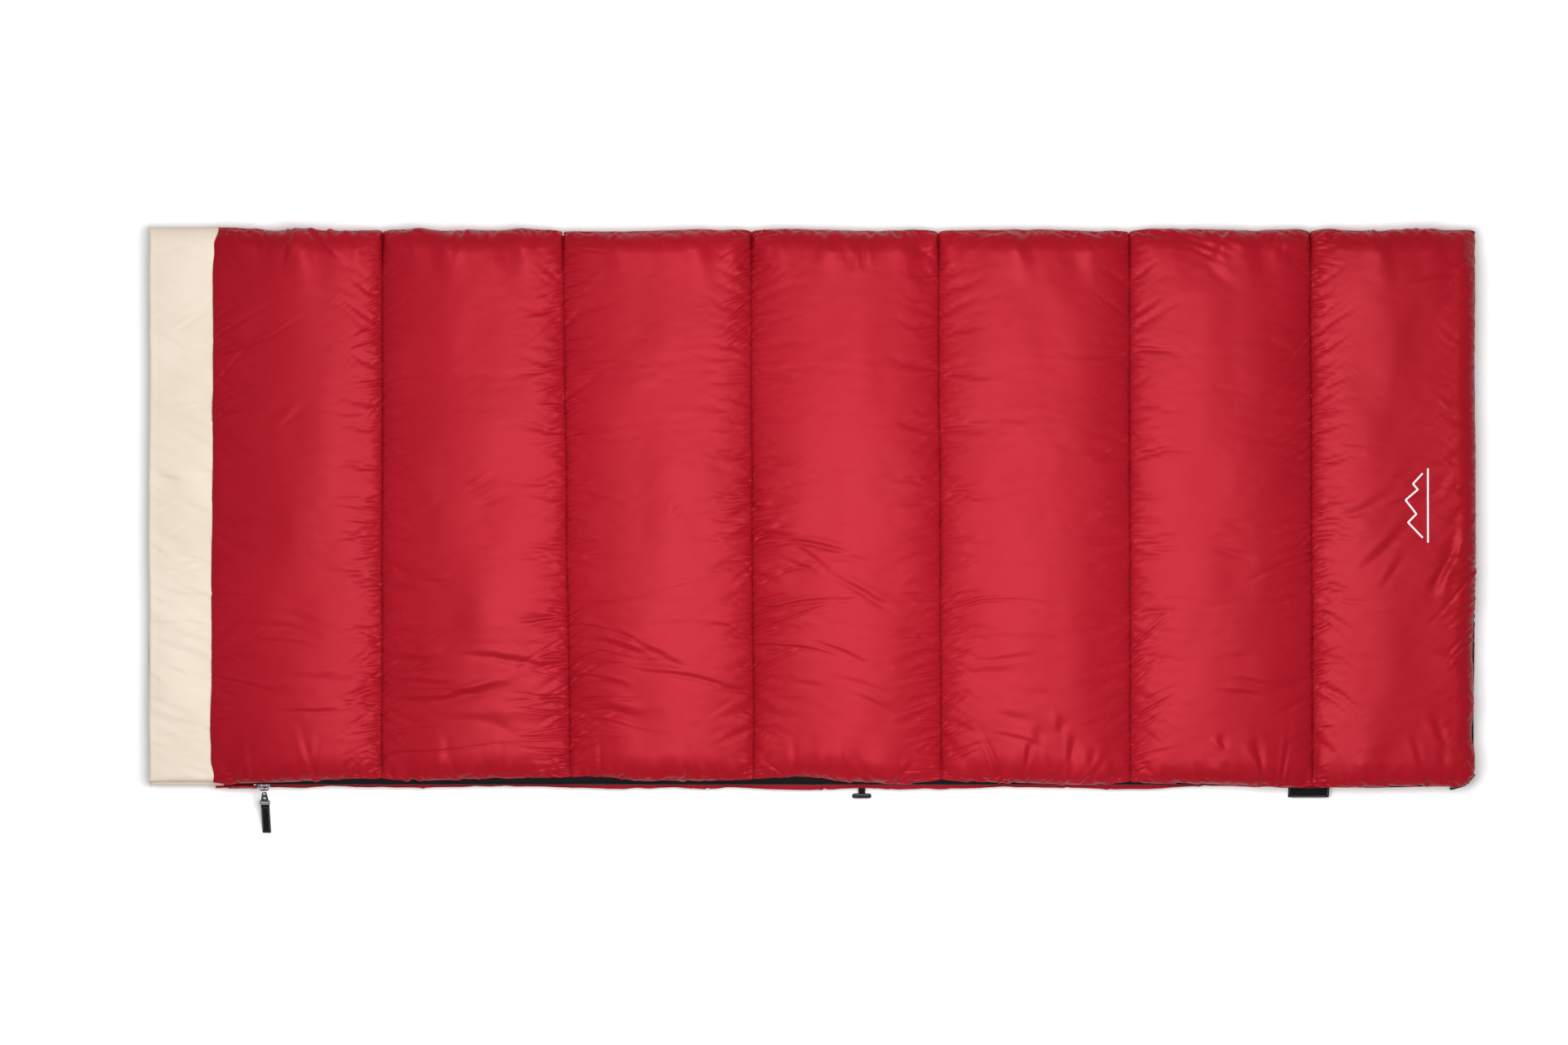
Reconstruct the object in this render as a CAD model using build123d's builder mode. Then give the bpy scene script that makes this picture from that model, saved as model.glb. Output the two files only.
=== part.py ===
"""Rectangular sleeping bag, zipped shut and lying on the ground.

Millimetres. +X runs from the head end to the foot end, +Y from the zip side to the closed
fold side, and +Z up. The origin is the centre of the underside. Two quilts lie one over the
other and join at the fold. Both are drawn above the plane between them, and the lower one is
then mirrored. Heights inside a quilt are measured from that plane.
"""
from build123d import *
from math import asin, atan2, cos, degrees, radians, sin, sqrt
import os

# --- The bag ---------------------------------------------------------------------------
head_band_width = 90.0
channel_widths = (246.0, 265.0, 266.0, 269.0, 272.0, 261.0, 236.0)
bag_width = 803.0
quilt_thickness = 32.0  # one quilt, at the crest of a channel
seam_depth = 21.0  # how far a quilting seam draws the outer cloth in
sleeping_gap = 8.0
cloth_thickness = 0.8
quilting_gap = 2.0  # between the fibre fills of two channels
fold_gap = 0.3  # from the plane between the quilts to the fold of each quilt
zip_corner_radius = 30.0
fold_corner_radius = 12.0
side_roll_radius = 20.0  # rounding of a quilt towards its zipped side
ground_press = 9.0  # how far the ground presses the lower quilt's channels flat
end_cut = 6.0  # the end channels are cut off this far before their curve comes down to a seam
band_thickness = 11.0

# --- The zip ---------------------------------------------------------------------------
upper_setback = 9.0  # the upper quilt's zipped edge lies this far inside the lower one's
chain_setback = 4.5  # centre plane of the zip chain inside the lower quilt's edge
tape_thickness = 1.0
tape_turn_in = 12.0  # width of tape that is turned in and sewn to the quilt
tape_bead = 4.5  # height of the tape's beaded edge above the chain's centre line
ledge_height = 12.7  # height of the quilt's edge, on which the tape is sewn
ledge_width = 34.0
ledge_slope = 26.0
tooth_pitch = 12.0
tooth_spine = 1.3
tooth_gap = 0.6  # between meshing teeth, measured across the zip
tooth_thickness = 4.4
zip_head_inset = 24.5  # from the head seam to the head end of the zip tapes
zip_fold_inset = 62.0  # from the fold to the fold end of the zip tapes
stop_length = 3.6
stop_height = 3.6
box_length = 13.0
box_width = 6.4
box_height = 7.5
box_end_wall = 1.2
stop_bridge = 0.9
wedge_tip_gap = 0.5  # from the middle of the slider to its wedge and to the first tooth
wedge_tip_radius = 0.6
wire_flats = 6  # sides of the section of a wire, a ring or a cord
pin_width = 3.0
pin_clearance = 0.4
draft_tube_width = 16.0
draft_tube_height = 16.6

# --- Zip slider, drawn on the chain's centre plane ----------------------------------------
slider_from_head_seam = 76.0
slider_length = 19.0
slider_plate = 1.5
slider_flange = 1.6
slider_shoulder_length = 7.0
chain_clearance = 0.5
slot_clearance = 0.4
wedge_width = 6.0
slider_corner_radius = 2.0
slider_edge_chamfer = 0.5
bail_wire = 1.8
bail_length = 12.0
bail_height = 5.6  # from the front plate to the axis of the wire
bail_bend = 2.6
ring_wire = 1.5
ring_inner_radius = 3.0
ring_play = 0.25

# --- Zip pull ----------------------------------------------------------------------------
link_thickness = 1.8
link_eye_radius = 1.9
link_eye_rim = 1.6
link_length = 14.0  # from the centre of the eye to the foot of the link
link_foot_width = 11.5
link_window_radius = 1.9
clamp_length = 5.3
clamp_width = 15.0
clamp_wall = 0.9
clamp_grip = 2.0  # how far the link reaches into the clamp
clamp_fit = 0.1
tab_width = 12.4
tab_thickness = 2.2
tab_length = 51.4
tab_corner_radius = 0.8
ground_clearance = 0.2

# --- Small sewn-on pieces ----------------------------------------------------------------
seat_gap = 0.3  # between a sewn-on piece and the quilt's outer face
flap_length = 41.0
flap_thickness = 1.7
flap_top = 3.5
flap_bulge = 3.5
slider_gap = 1.0
toggle_from_head_seam = 934.5
toggle_slope = 30.0
toggle_height = -15.0  # height of the seam that holds the toggle, the label and the loop
stem_width = 10.0
stem_thickness = 1.6
stem_length = 15.0
bar_length = 27.8
bar_width = 7.0
bar_thickness = 4.2
bar_pocket_depth = 2.7
bar_hole_radius = 0.8
bar_hole_spacing = 5.4
bar_chamfer = 1.0
round_end_flat = 0.1  # half of the flat between the roundings of a rounded end
label_from_foot = 237.0
label_length = 59.0
label_width = 18.0
label_thickness = 1.2
label_slope = 25.0
loop_wire = 3.0
loop_width = 22.0  # between the axes of the two legs
loop_angle = 16.5  # how far round the foot corner the loop is sewn in
loop_overhang = 4.8
loop_bend = 5.0

# --- Worked out from the sizes above -----------------------------------------------------
bag_length = head_band_width + sum(channel_widths)
head_x = -bag_length / 2
foot_x = bag_length / 2
head_seam_x = head_x + head_band_width
zip_y = -bag_width / 2
fold_y = bag_width / 2
hollow_height = sleeping_gap / 2
crest_height = hollow_height + quilt_thickness
seam_height = crest_height - seam_depth
middle = crest_height  # height above the ground of the plane between the quilts
middle_plane = Plane.XY.offset(middle)
fold_axis_y = fold_y - crest_height  # the rolls of both quilts are centred here
chain_y = zip_y + chain_setback
chain_foot_x = foot_x - chain_setback
corner_x = foot_x - zip_corner_radius
corner_y = zip_y + zip_corner_radius
slider_x = head_seam_x + slider_from_head_seam
tape_head_x = head_seam_x + zip_head_inset
tape_fold_y = fold_y - zip_fold_inset
reach = 2 * bag_length  # longer than anything that it cuts
ROOT_HALF = sqrt(0.5)


def handed(piece, is_upper):
    """The piece as it is drawn for the upper quilt, or mirrored for the lower one."""
    return piece if is_upper else mirror(piece, about=middle_plane)


def setback_of(is_upper):
    """How far a quilt's zipped edge and foot edge lie inside the bag's outline."""
    return upper_setback if is_upper else 0.0


def seam_places(is_upper):
    """Places along X of the quilting seams, from the head seam to the quilt's foot edge."""
    places = [head_seam_x]
    for width in channel_widths:
        places.append(places[-1] + width)
    places[-1] -= setback_of(is_upper)
    return places


# --- Quilts ------------------------------------------------------------------------------
def channels_block(is_upper, drawn_in):
    """The puffed channels side by side, as one block right across the bag."""
    press = 0 if is_upper else ground_press
    crest = middle + crest_height - drawn_in + press
    seam = middle + seam_height - drawn_in
    edges = seam_places(is_upper)
    edges[0] -= end_cut
    edges[-1] += end_cut
    with BuildPart() as block:
        with BuildSketch(Plane.XZ):
            with BuildLine():
                for start, end in zip(edges, edges[1:]):
                    ThreePointArc((start, seam), ((start + end) / 2, crest), (end, seam))
                Polyline(
                    (edges[-1], seam), (edges[-1], middle), (edges[0], middle), (edges[0], seam)
                )
            make_face()
        extrude(amount=reach, both=True)
    return block.part


def rolled_profile(edge_y, top_height, roll_radius, rounding):
    """Outline across the bag: upright at the zip side, level, then rolled down to the fold."""
    bottom, top = middle + fold_gap, middle + top_height
    bend = rounding * (1 - ROOT_HALF)
    end_y = fold_axis_y + sqrt(roll_radius**2 - fold_gap**2)
    Line((edge_y, bottom), (edge_y, top - rounding))
    ThreePointArc((edge_y, top - rounding), (edge_y + bend, top - bend), (edge_y + rounding, top))
    Line((edge_y + rounding, top), (fold_axis_y, top))
    ThreePointArc(
        (fold_axis_y, top),
        (fold_axis_y + roll_radius * ROOT_HALF, middle + top_height * ROOT_HALF),
        (end_y, bottom),
    )
    Line((end_y, bottom), (edge_y, bottom))


def quilt_block(is_upper, drawn_in):
    """One quilt as a single block, from the plane between the quilts to its outer face."""
    inset = setback_of(is_upper) + drawn_in
    roll = crest_height - drawn_in
    low_x, high_x = head_seam_x + drawn_in, foot_x - inset
    low_y, high_y = zip_y + inset, fold_y - drawn_in
    with BuildPart() as block:
        add(channels_block(is_upper, drawn_in))
        with BuildSketch(Plane.YZ):
            with BuildLine():
                rolled_profile(low_y, roll, roll, side_roll_radius - drawn_in)
            make_face()
        extrude(amount=reach, both=True, mode=Mode.INTERSECT)
        with BuildSketch(middle_plane) as plan:
            with Locations(((low_x + high_x) / 2, (low_y + high_y) / 2)):
                Rectangle(high_x - low_x, high_y - low_y)
            foot_corners = plan.vertices().sort_by(Axis.X)[-2:].sort_by(Axis.Y)
            fillet(foot_corners[0], zip_corner_radius - inset)
            far_corner = plan.vertices().sort_by(Axis.X)[-2:].sort_by(Axis.Y)[-1]
            fillet(far_corner, fold_corner_radius - drawn_in)
        extrude(amount=roll, mode=Mode.INTERSECT)
    return block.part


def ledge_profile(edge, inward, grown):
    """Section of the hollow along a zipped edge: high at the ledge, then down to the lining."""
    low, high = middle + hollow_height + grown, middle + ledge_height + grown
    Polyline(
        (edge - inward * upper_setback, middle),
        (edge - inward * upper_setback, high),
        (edge + inward * ledge_width, high),
        (edge + inward * (ledge_width + ledge_slope), low),
        (edge + inward * (ledge_width + ledge_slope), middle),
        close=True,
    )


def hollow_block(grown):
    """The upper half of the space between the quilts, made larger by the lining's cloth."""
    roll = hollow_height + grown
    low_x, low_y = head_seam_x - upper_setback, zip_y - upper_setback
    with BuildPart() as block:
        with BuildSketch(Plane.YZ.offset(low_x)):
            with BuildLine():
                Line((low_y, middle), (low_y, middle + roll))
                Line((low_y, middle + roll), (fold_axis_y, middle + roll))
                ThreePointArc(
                    (fold_axis_y, middle + roll),
                    (fold_axis_y + roll * ROOT_HALF, middle + roll * ROOT_HALF),
                    (fold_axis_y + roll, middle),
                )
                Line((fold_axis_y + roll, middle), (low_y, middle))
            make_face()
        extrude(amount=foot_x + upper_setback - low_x)
        with BuildSketch(Plane.YZ.offset(low_x)):
            with BuildLine():
                ledge_profile(zip_y, 1, grown)
            make_face()
        extrude(amount=foot_x + upper_setback - low_x)
        with BuildSketch(Plane.XZ.offset(-tape_fold_y - grown)):
            with BuildLine():
                ledge_profile(foot_x, -1, grown)
            make_face()
        extrude(amount=tape_fold_y + grown - low_y)
    return block.part


def outer_shell(is_upper, outer, inner, lining_space):
    """Outer cloth: the quilt's outer face, turned in at the zipped edges down to the ledge."""
    with BuildPart() as shell:
        add(outer)
        add(inner, mode=Mode.SUBTRACT)
        add(lining_space, mode=Mode.SUBTRACT)
    return handed(shell.part, is_upper)


def lining(is_upper, outer, lining_space, hollow):
    """Lining: one cloth over the hollow, raised to the ledge along both zipped edges."""
    with BuildPart() as sheet:
        add(lining_space)
        add(hollow, mode=Mode.SUBTRACT)
        add(outer, mode=Mode.INTERSECT)
    return handed(sheet.part, is_upper)


def fibre_fills(is_upper, inner, lining_space):
    """One batt of fibre for each channel, between the outer cloth and the lining."""
    places = seam_places(is_upper)
    fills = []
    for start, end in zip(places, places[1:]):
        length = end - start - quilting_gap
        with BuildPart() as fill:
            with BuildSketch(middle_plane):
                with Locations(((start + end) / 2, 0)):
                    Rectangle(length, bag_width)
            extrude(amount=crest_height)
            add(inner, mode=Mode.INTERSECT)
            add(lining_space, mode=Mode.SUBTRACT)
        fills.append(handed(fill.part, is_upper))
    return fills


def head_band(is_upper):
    """Padded facing that is folded over the quilt's head edge."""
    edge_y = zip_y + setback_of(is_upper)
    low, high = middle + hollow_height, middle + hollow_height + band_thickness
    with BuildPart() as band:
        with BuildSketch(Plane.YZ.offset(head_x)):
            with BuildLine():
                bottom = middle + fold_gap
                outer_roll = hollow_height + band_thickness - fold_gap
                Line((edge_y, low), (edge_y, high))
                Line((edge_y, high), (fold_axis_y, high))
                EllipticalCenterArc((fold_axis_y, bottom), crest_height, outer_roll)
                inner_end = fold_axis_y + sqrt(hollow_height**2 - fold_gap**2)
                Line((fold_y, bottom), (inner_end, bottom))
                ThreePointArc(
                    (inner_end, bottom),
                    (fold_axis_y + hollow_height * ROOT_HALF, middle + hollow_height * ROOT_HALF),
                    (fold_axis_y, low),
                )
                Line((fold_axis_y, low), (edge_y, low))
            make_face()
        extrude(amount=head_band_width)
        with BuildSketch(Plane.XZ):
            with BuildLine():
                radius = band_thickness / 2
                Line((head_x, middle), (head_x, high - radius))
                ThreePointArc(
                    (head_x, high - radius),
                    (head_x + radius * (1 - ROOT_HALF), high - radius * (1 - ROOT_HALF)),
                    (head_x + radius, high),
                )
                Polyline(
                    (head_x + radius, high), (head_seam_x, high),
                    (head_seam_x, middle), (head_x, middle),
                )
            make_face()
        extrude(amount=reach, both=True, mode=Mode.INTERSECT)
    return handed(band.part, is_upper)


# --- Zip ---------------------------------------------------------------------------------
def zip_region(setback, low_x, high_y):
    """Plan of all that lies inside the zip's line, with the foot corner rounded."""
    low_y, high_x = zip_y + setback, foot_x - setback
    with BuildSketch() as region:
        with Locations(((low_x + high_x) / 2, (low_y + high_y) / 2)):
            Rectangle(high_x - low_x, high_y - low_y)
        corner = region.vertices().sort_by(Axis.X)[-2:].sort_by(Axis.Y)[0]
        fillet(corner, zip_corner_radius - setback)
    return region.sketch


def zip_strip(outer_setback, width, low_x, high_y):
    """Strip that follows the zip: down the side, round the corner and up the foot."""
    with BuildSketch() as strip:
        add(zip_region(outer_setback, low_x, high_y))
        inner = zip_region(outer_setback + width, low_x - reach, high_y + reach)
        add(inner, mode=Mode.SUBTRACT)
    return strip.sketch


def zip_tape(is_upper):
    """Woven tape: an upright web with the bead, and a turned-in part sewn to the ledge."""
    outer = chain_setback - tape_thickness / 2
    with BuildPart() as tape:
        with BuildSketch(middle_plane.offset(tape_bead)):
            add(zip_strip(outer, tape_thickness, tape_head_x, tape_fold_y))
        extrude(amount=ledge_height - tape_bead)
        with BuildSketch(middle_plane.offset(ledge_height - tape_thickness)):
            add(zip_strip(outer, tape_turn_in, tape_head_x, tape_fold_y))
        extrude(amount=tape_thickness)
    return handed(tape.part, is_upper)


def comb_outline(start, end, is_upper):
    """Closed outline of a straight row of teeth: a level spine with wedges under it."""
    root = tape_bead - tooth_spine
    tip = tooth_gap - root
    on_pitch, between = (root, tip) if is_upper else (tip, root)
    count = int((end - start) / tooth_pitch)
    points = [(start, middle + tape_bead), (start, middle + on_pitch)]
    for index in range(count):
        points.append((start + (index + 0.5) * tooth_pitch, middle + between))
        points.append((start + (index + 1) * tooth_pitch, middle + on_pitch))
    points.append((points[-1][0], middle + root))
    points += [(end, middle + root), (end, middle + tape_bead)]
    return [point for point, after in zip(points, points[1:] + points[:1]) if point != after]


def corner_teeth(is_upper):
    """The few teeth that turn the foot corner, square to the curve."""
    turn_radius = zip_corner_radius - chain_setback
    root = tape_bead - tooth_spine
    tip = tooth_gap - root
    count = round(radians(90) * turn_radius / tooth_pitch)
    step = 90 / count
    half_base = radians(step) * (turn_radius - tooth_thickness / 2) / 2
    offsets = [index + 0.5 for index in range(count)] if is_upper else range(1, count)
    with BuildPart() as teeth:
        with BuildSketch(middle_plane.offset(root)):
            outer = chain_setback - tooth_thickness / 2
            overlap = tooth_pitch / 2
            add(zip_strip(outer, tooth_thickness, corner_x - overlap, corner_y + overlap))
        extrude(amount=tooth_spine)
        for offset in offsets:
            angle = radians(offset * step - 90)
            outward = (cos(angle), sin(angle), 0)
            along = (-sin(angle), cos(angle), 0)
            place = (corner_x + turn_radius * outward[0], corner_y + turn_radius * outward[1])
            facing = Plane((*place, middle), x_dir=along, z_dir=outward)
            with BuildSketch(facing.offset(-tooth_thickness / 2)):
                Polygon(
                    (-half_base, root), (0, tip), (half_base, root), (0, tape_bead),
                    align=None,
                )
            extrude(amount=tooth_thickness)
    return teeth.part


def zip_teeth(is_upper):
    """One side of the chain, from the slider to the retainer box at the fold."""
    start_x = slider_x + wedge_tip_gap
    end_y = tape_fold_y - box_length - wedge_tip_gap
    with BuildPart() as teeth:
        add(corner_teeth(is_upper))
        with BuildSketch(Plane.XZ.offset(-chain_y - tooth_thickness / 2)):
            with BuildLine():
                Polyline(*comb_outline(start_x, corner_x, is_upper), close=True)
            make_face()
        extrude(amount=tooth_thickness)
        with BuildSketch(Plane.YZ.offset(chain_foot_x - tooth_thickness / 2)):
            with BuildLine():
                Polyline(*comb_outline(corner_y, end_y, is_upper), close=True)
            make_face()
        extrude(amount=tooth_thickness)
    return handed(teeth.part, is_upper)


def top_stop(is_upper):
    """Metal clip crimped over the tape's bead, where the slider comes to rest."""
    mouth_x = slider_x - slider_length / 2
    centre_x = mouth_x - slider_gap - stop_length / 2
    with BuildPart() as stop:
        with Locations((centre_x, chain_y, middle + tape_bead - stop_bridge)):
            Box(
                stop_length, tooth_thickness, stop_height,
                align=(Align.CENTER, Align.CENTER, Align.MIN),
            )
        with Locations((centre_x, chain_y, middle + tape_bead)):
            Box(
                stop_length, tape_thickness, stop_height,
                align=(Align.CENTER, Align.CENTER, Align.MIN), mode=Mode.SUBTRACT,
            )
    return handed(stop.part, is_upper)


def retainer_box():
    """Box at the fold end of the lower tape. The pin of the upper tape drops into it."""
    floor = Align.CENTER, Align.MAX, Align.MIN
    with BuildPart() as box:
        with Locations((chain_foot_x, tape_fold_y, middle - tape_bead)):
            Box(box_width, box_length, box_height, align=floor)
        slot_width = pin_width + 2 * pin_clearance
        with Locations((chain_foot_x, tape_fold_y - box_end_wall, middle - pin_clearance / 2)):
            Box(slot_width, box_length, box_height, align=floor, mode=Mode.SUBTRACT)
    return box.part


def retainer_pin():
    """Stiff pin at the fold end of the upper tape."""
    length = box_length - box_end_wall - pin_clearance
    with BuildPart() as pin:
        with Locations(
            (chain_foot_x, tape_fold_y - box_end_wall - pin_clearance, middle + pin_clearance / 2)
        ):
            Box(
                pin_width, length, tape_bead - pin_clearance / 2,
                align=(Align.CENTER, Align.MAX, Align.MIN),
            )
        fillet(pin.edges().filter_by(Axis.Y).group_by(Axis.Z)[0], pin_width / 3)
    return pin.part


def draft_tube():
    """Padded tube inside the zip, sewn under the upper quilt's ledge."""
    centre_y = chain_y - tape_thickness / 2 + tape_turn_in + draft_tube_width / 2
    centre_z = middle + ledge_height - seat_gap - draft_tube_height / 2
    with BuildPart() as tube:
        with BuildSketch(Plane.YZ.offset(tape_head_x)):
            with Locations((centre_y, centre_z)):
                Ellipse(draft_tube_width / 2, draft_tube_height / 2)
        extrude(amount=corner_x - tape_head_x)
    return tube.part


def garage_flap():
    """Folded flap of outer cloth that stands outside the head end of the zip."""
    end_x = slider_x - slider_length / 2 - slider_gap
    foot_z, top_z = middle - ledge_height, middle + flap_top
    outer_y = zip_y + seat_gap
    inner_y = outer_y + flap_thickness
    waist_z = (foot_z + top_z) / 2
    with BuildPart() as flap:
        with BuildSketch(Plane.YZ.offset(end_x - flap_length)):
            with BuildLine():
                Line((inner_y, foot_z), (outer_y, foot_z))
                ThreePointArc((outer_y, foot_z), (outer_y - flap_bulge, waist_z), (outer_y, top_z))
                Line((outer_y, top_z), (inner_y, top_z))
                ThreePointArc((inner_y, top_z), (inner_y - flap_bulge, waist_z), (inner_y, foot_z))
            make_face()
        extrude(amount=flap_length)
    return flap.part


# --- Zip slider --------------------------------------------------------------------------
chain_plane = Plane((slider_x, chain_y, middle), x_dir=(1, 0, 0), z_dir=(0, -1, 0))
channel_half_depth = tooth_thickness / 2 + chain_clearance
slider_half_depth = channel_half_depth + slider_plate
channel_rear_half = tape_bead + chain_clearance
channel_mouth_half = channel_rear_half + wedge_width / 2


def slider_outline(rear_half, mouth_half, past_ends):
    """Shield shape of the slider, or of its channel, seen square to the zip."""
    end = slider_length / 2 + past_ends
    shoulder = slider_shoulder_length - slider_length / 2
    taper_end = shoulder + slider_shoulder_length
    upper_side = [(end, rear_half), (taper_end, rear_half), (shoulder, mouth_half)]
    upper_side.append((-end, mouth_half))
    lower_side = [(x, -y) for x, y in reversed(upper_side)]
    Polygon(*upper_side, *lower_side, align=None)


def slider_body():
    """Cast slider: two plates with flanges, held together by the wedge that parts the teeth."""
    with BuildPart() as slider:
        with BuildSketch(chain_plane.offset(-slider_half_depth)) as shield:
            slider_outline(
                channel_rear_half + slider_flange, channel_mouth_half + slider_flange, 0
            )
            fillet(shield.vertices(), slider_corner_radius)
        extrude(amount=2 * slider_half_depth)
        plate_rims = slider.edges().group_by(Axis.Y)
        chamfer([*plate_rims[0], *plate_rims[-1]], slider_edge_chamfer)
        with BuildSketch(chain_plane.offset(-channel_half_depth)):
            slider_outline(channel_rear_half, channel_mouth_half, chain_clearance)
        extrude(amount=2 * channel_half_depth, mode=Mode.SUBTRACT)
        with Locations(chain_plane):
            slot_depth = tape_thickness + 2 * slot_clearance
            Box(2 * slider_length, 4 * channel_mouth_half, slot_depth, mode=Mode.SUBTRACT)
        with BuildSketch(chain_plane.offset(-channel_half_depth)) as wedge:
            mouth = -slider_length / 2
            Polygon(
                (mouth, -wedge_width / 2), (-wedge_tip_gap, 0), (mouth, wedge_width / 2),
                align=None,
            )
            fillet(wedge.vertices().sort_by(Axis.X)[-1], wedge_tip_radius)
        extrude(amount=2 * channel_half_depth)
    return slider.part


bail_foot_y = chain_y - slider_half_depth
swing_point = (slider_x, bail_foot_y - bail_height, middle)


def wire_section(diameter):
    """Section of a faceted wire, in the current sketch."""
    RegularPolygon(diameter / 2, wire_flats, major_radius=False, rotation=180 / wire_flats)


def slider_bail():
    """Cast arch on the slider's front plate, on which the pull's ring hangs."""
    low_x, high_x = slider_x - bail_length / 2, slider_x + bail_length / 2
    with BuildPart() as bail:
        with BuildLine() as arch:
            FilletPolyline(
                (low_x, bail_foot_y, middle), (low_x, swing_point[1], middle),
                (high_x, swing_point[1], middle), (high_x, bail_foot_y, middle),
                radius=bail_bend,
            )
        with BuildSketch(Plane(arch.line @ 0, x_dir=(1, 0, 0), z_dir=arch.line % 0)):
            wire_section(bail_wire)
        sweep()
    return bail.part


# --- Zip pull, drawn on a plane that slopes from the bail down to the ground ----------------
ring_radius = ring_inner_radius + ring_wire / 2
ring_offset = ring_inner_radius - bail_wire / 2 - ring_play
turn_reach = ring_offset + ring_radius
eye_reach = turn_reach + link_eye_radius - ring_wire / 2 - ring_play
link_foot_reach = eye_reach + link_length
tab_reach = link_foot_reach + tab_length
pull_slope = degrees(asin((middle - ground_clearance - tab_thickness / 2) / tab_reach))


def sloping_plane(origin, slope, turn=0):
    """Plane whose X runs along the bag's edge and whose -Y runs outwards and down."""
    along = (cos(radians(turn)), sin(radians(turn)), 0)
    tilt = radians(slope)
    normal = (along[1] * sin(tilt), -along[0] * sin(tilt), cos(tilt))
    return Plane(origin, x_dir=along, z_dir=normal)


pull_plane = sloping_plane(swing_point, pull_slope)


def pull_ring():
    """Wire ring that joins the link to the bail."""
    centre = pull_plane.from_local_coords((0, -ring_offset, 0))
    section_plane = Plane(centre, x_dir=pull_plane.y_dir, z_dir=pull_plane.z_dir)
    with BuildPart() as ring:
        with BuildSketch(section_plane):
            with Locations((-ring_radius, 0)):
                wire_section(ring_wire)
        revolve(axis=Axis(centre, (1, 0, 0)))
    return ring.part


def pull_link():
    """Tapered link with an eye for the ring and a window above its foot."""
    with BuildPart() as link:
        with BuildSketch(pull_plane.offset(-link_thickness / 2)):
            with Locations((0, -eye_reach)):
                Circle(link_eye_radius + link_eye_rim)
            with Locations((0, -link_foot_reach)):
                Rectangle(link_foot_width, clamp_grip, align=(Align.CENTER, Align.MIN))
            make_hull()
            with Locations((0, -eye_reach)):
                Circle(link_eye_radius, mode=Mode.SUBTRACT)
            with Locations((0, -eye_reach - link_length / 2)):
                Circle(link_window_radius, mode=Mode.SUBTRACT)
        extrude(amount=link_thickness)
    return link.part


def pull_clamp():
    """Metal clamp that holds the foot of the link and the end of the webbing."""
    depth = tab_thickness + 2 * clamp_fit + 2 * clamp_wall
    centre = -link_foot_reach + clamp_grip - clamp_length / 2
    with BuildPart() as clamp:
        with Locations(pull_plane):
            with Locations((0, centre, 0)):
                Box(clamp_width, clamp_length, depth)
        fillet(clamp.edges().filter_by(Axis.X), clamp_wall)
        with Locations(pull_plane):
            with Locations((0, centre, 0)):
                Box(
                    tab_width + 2 * clamp_fit, clamp_length, tab_thickness + 2 * clamp_fit,
                    mode=Mode.SUBTRACT,
                )
    return clamp.part


def pull_tab():
    """Folded webbing tab, long enough to lie on the ground."""
    with BuildPart() as tab:
        with BuildSketch(pull_plane.offset(-tab_thickness / 2)):
            with Locations((0, -link_foot_reach - tab_length / 2)):
                RectangleRounded(tab_width, tab_length, tab_corner_radius)
        extrude(amount=tab_thickness)
    return tab.part


# --- Small pieces sewn into the edge of the lower quilt --------------------------------------
toggle_x = head_seam_x + toggle_from_head_seam
edge_seam_z = middle + toggle_height
toggle_point = (toggle_x, zip_y - seat_gap - stem_thickness / 2, edge_seam_z)
toggle_plane = sloping_plane(toggle_point, toggle_slope)


def toggle_stem():
    """Stiff webbing that carries the toggle bar, rounded where it flexes at the seam."""
    with BuildPart() as stem:
        with BuildSketch(toggle_plane.offset(-stem_thickness / 2)):
            with Locations((0, stem_thickness / 2)):
                Rectangle(
                    stem_width, stem_length + stem_thickness / 2,
                    align=(Align.CENTER, Align.MAX),
                )
        extrude(amount=stem_thickness)
        root_edges = stem.edges().filter_by(Axis.X).sort_by(Axis.Y)[-2:]
        fillet(root_edges, stem_thickness / 2 - round_end_flat)
    return stem.part


def toggle_bar():
    """Moulded bar with rounded ends, a pocket for the webbing and two holes for its thread."""
    near = -stem_length + bar_pocket_depth
    centre = near - bar_width / 2
    with BuildPart() as bar:
        with BuildSketch(toggle_plane.offset(-bar_thickness / 2)):
            with Locations((0, centre)):
                RectangleRounded(bar_length, bar_width, bar_width / 2 - round_end_flat)
        extrude(amount=bar_thickness)
        chamfer(bar.faces().filter_by(toggle_plane).edges(), bar_chamfer)
        with Locations(toggle_plane):
            with Locations((0, near, 0)):
                Box(
                    stem_width + 2 * clamp_fit, bar_pocket_depth,
                    stem_thickness + 2 * clamp_fit,
                    align=(Align.CENTER, Align.MAX, Align.CENTER), mode=Mode.SUBTRACT,
                )
        hole_y = near - bar_pocket_depth - 2 * bar_hole_radius
        with BuildSketch(toggle_plane.offset(-bar_thickness)):
            with Locations((-bar_hole_spacing / 2, hole_y), (bar_hole_spacing / 2, hole_y)):
                Circle(bar_hole_radius)
        extrude(amount=2 * bar_thickness, mode=Mode.SUBTRACT)
    return bar.part


def side_label():
    """Woven label, left bare, sewn into the lower quilt's edge."""
    lift = label_thickness / 2 * sin(radians(label_slope))
    origin = (foot_x - label_from_foot, zip_y - seat_gap - lift, edge_seam_z)
    with BuildPart() as label:
        with BuildSketch(sloping_plane(origin, label_slope).offset(-label_thickness / 2)):
            Rectangle(label_length, label_width, align=(Align.CENTER, Align.MAX))
        extrude(amount=label_thickness)
    return label.part


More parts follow.
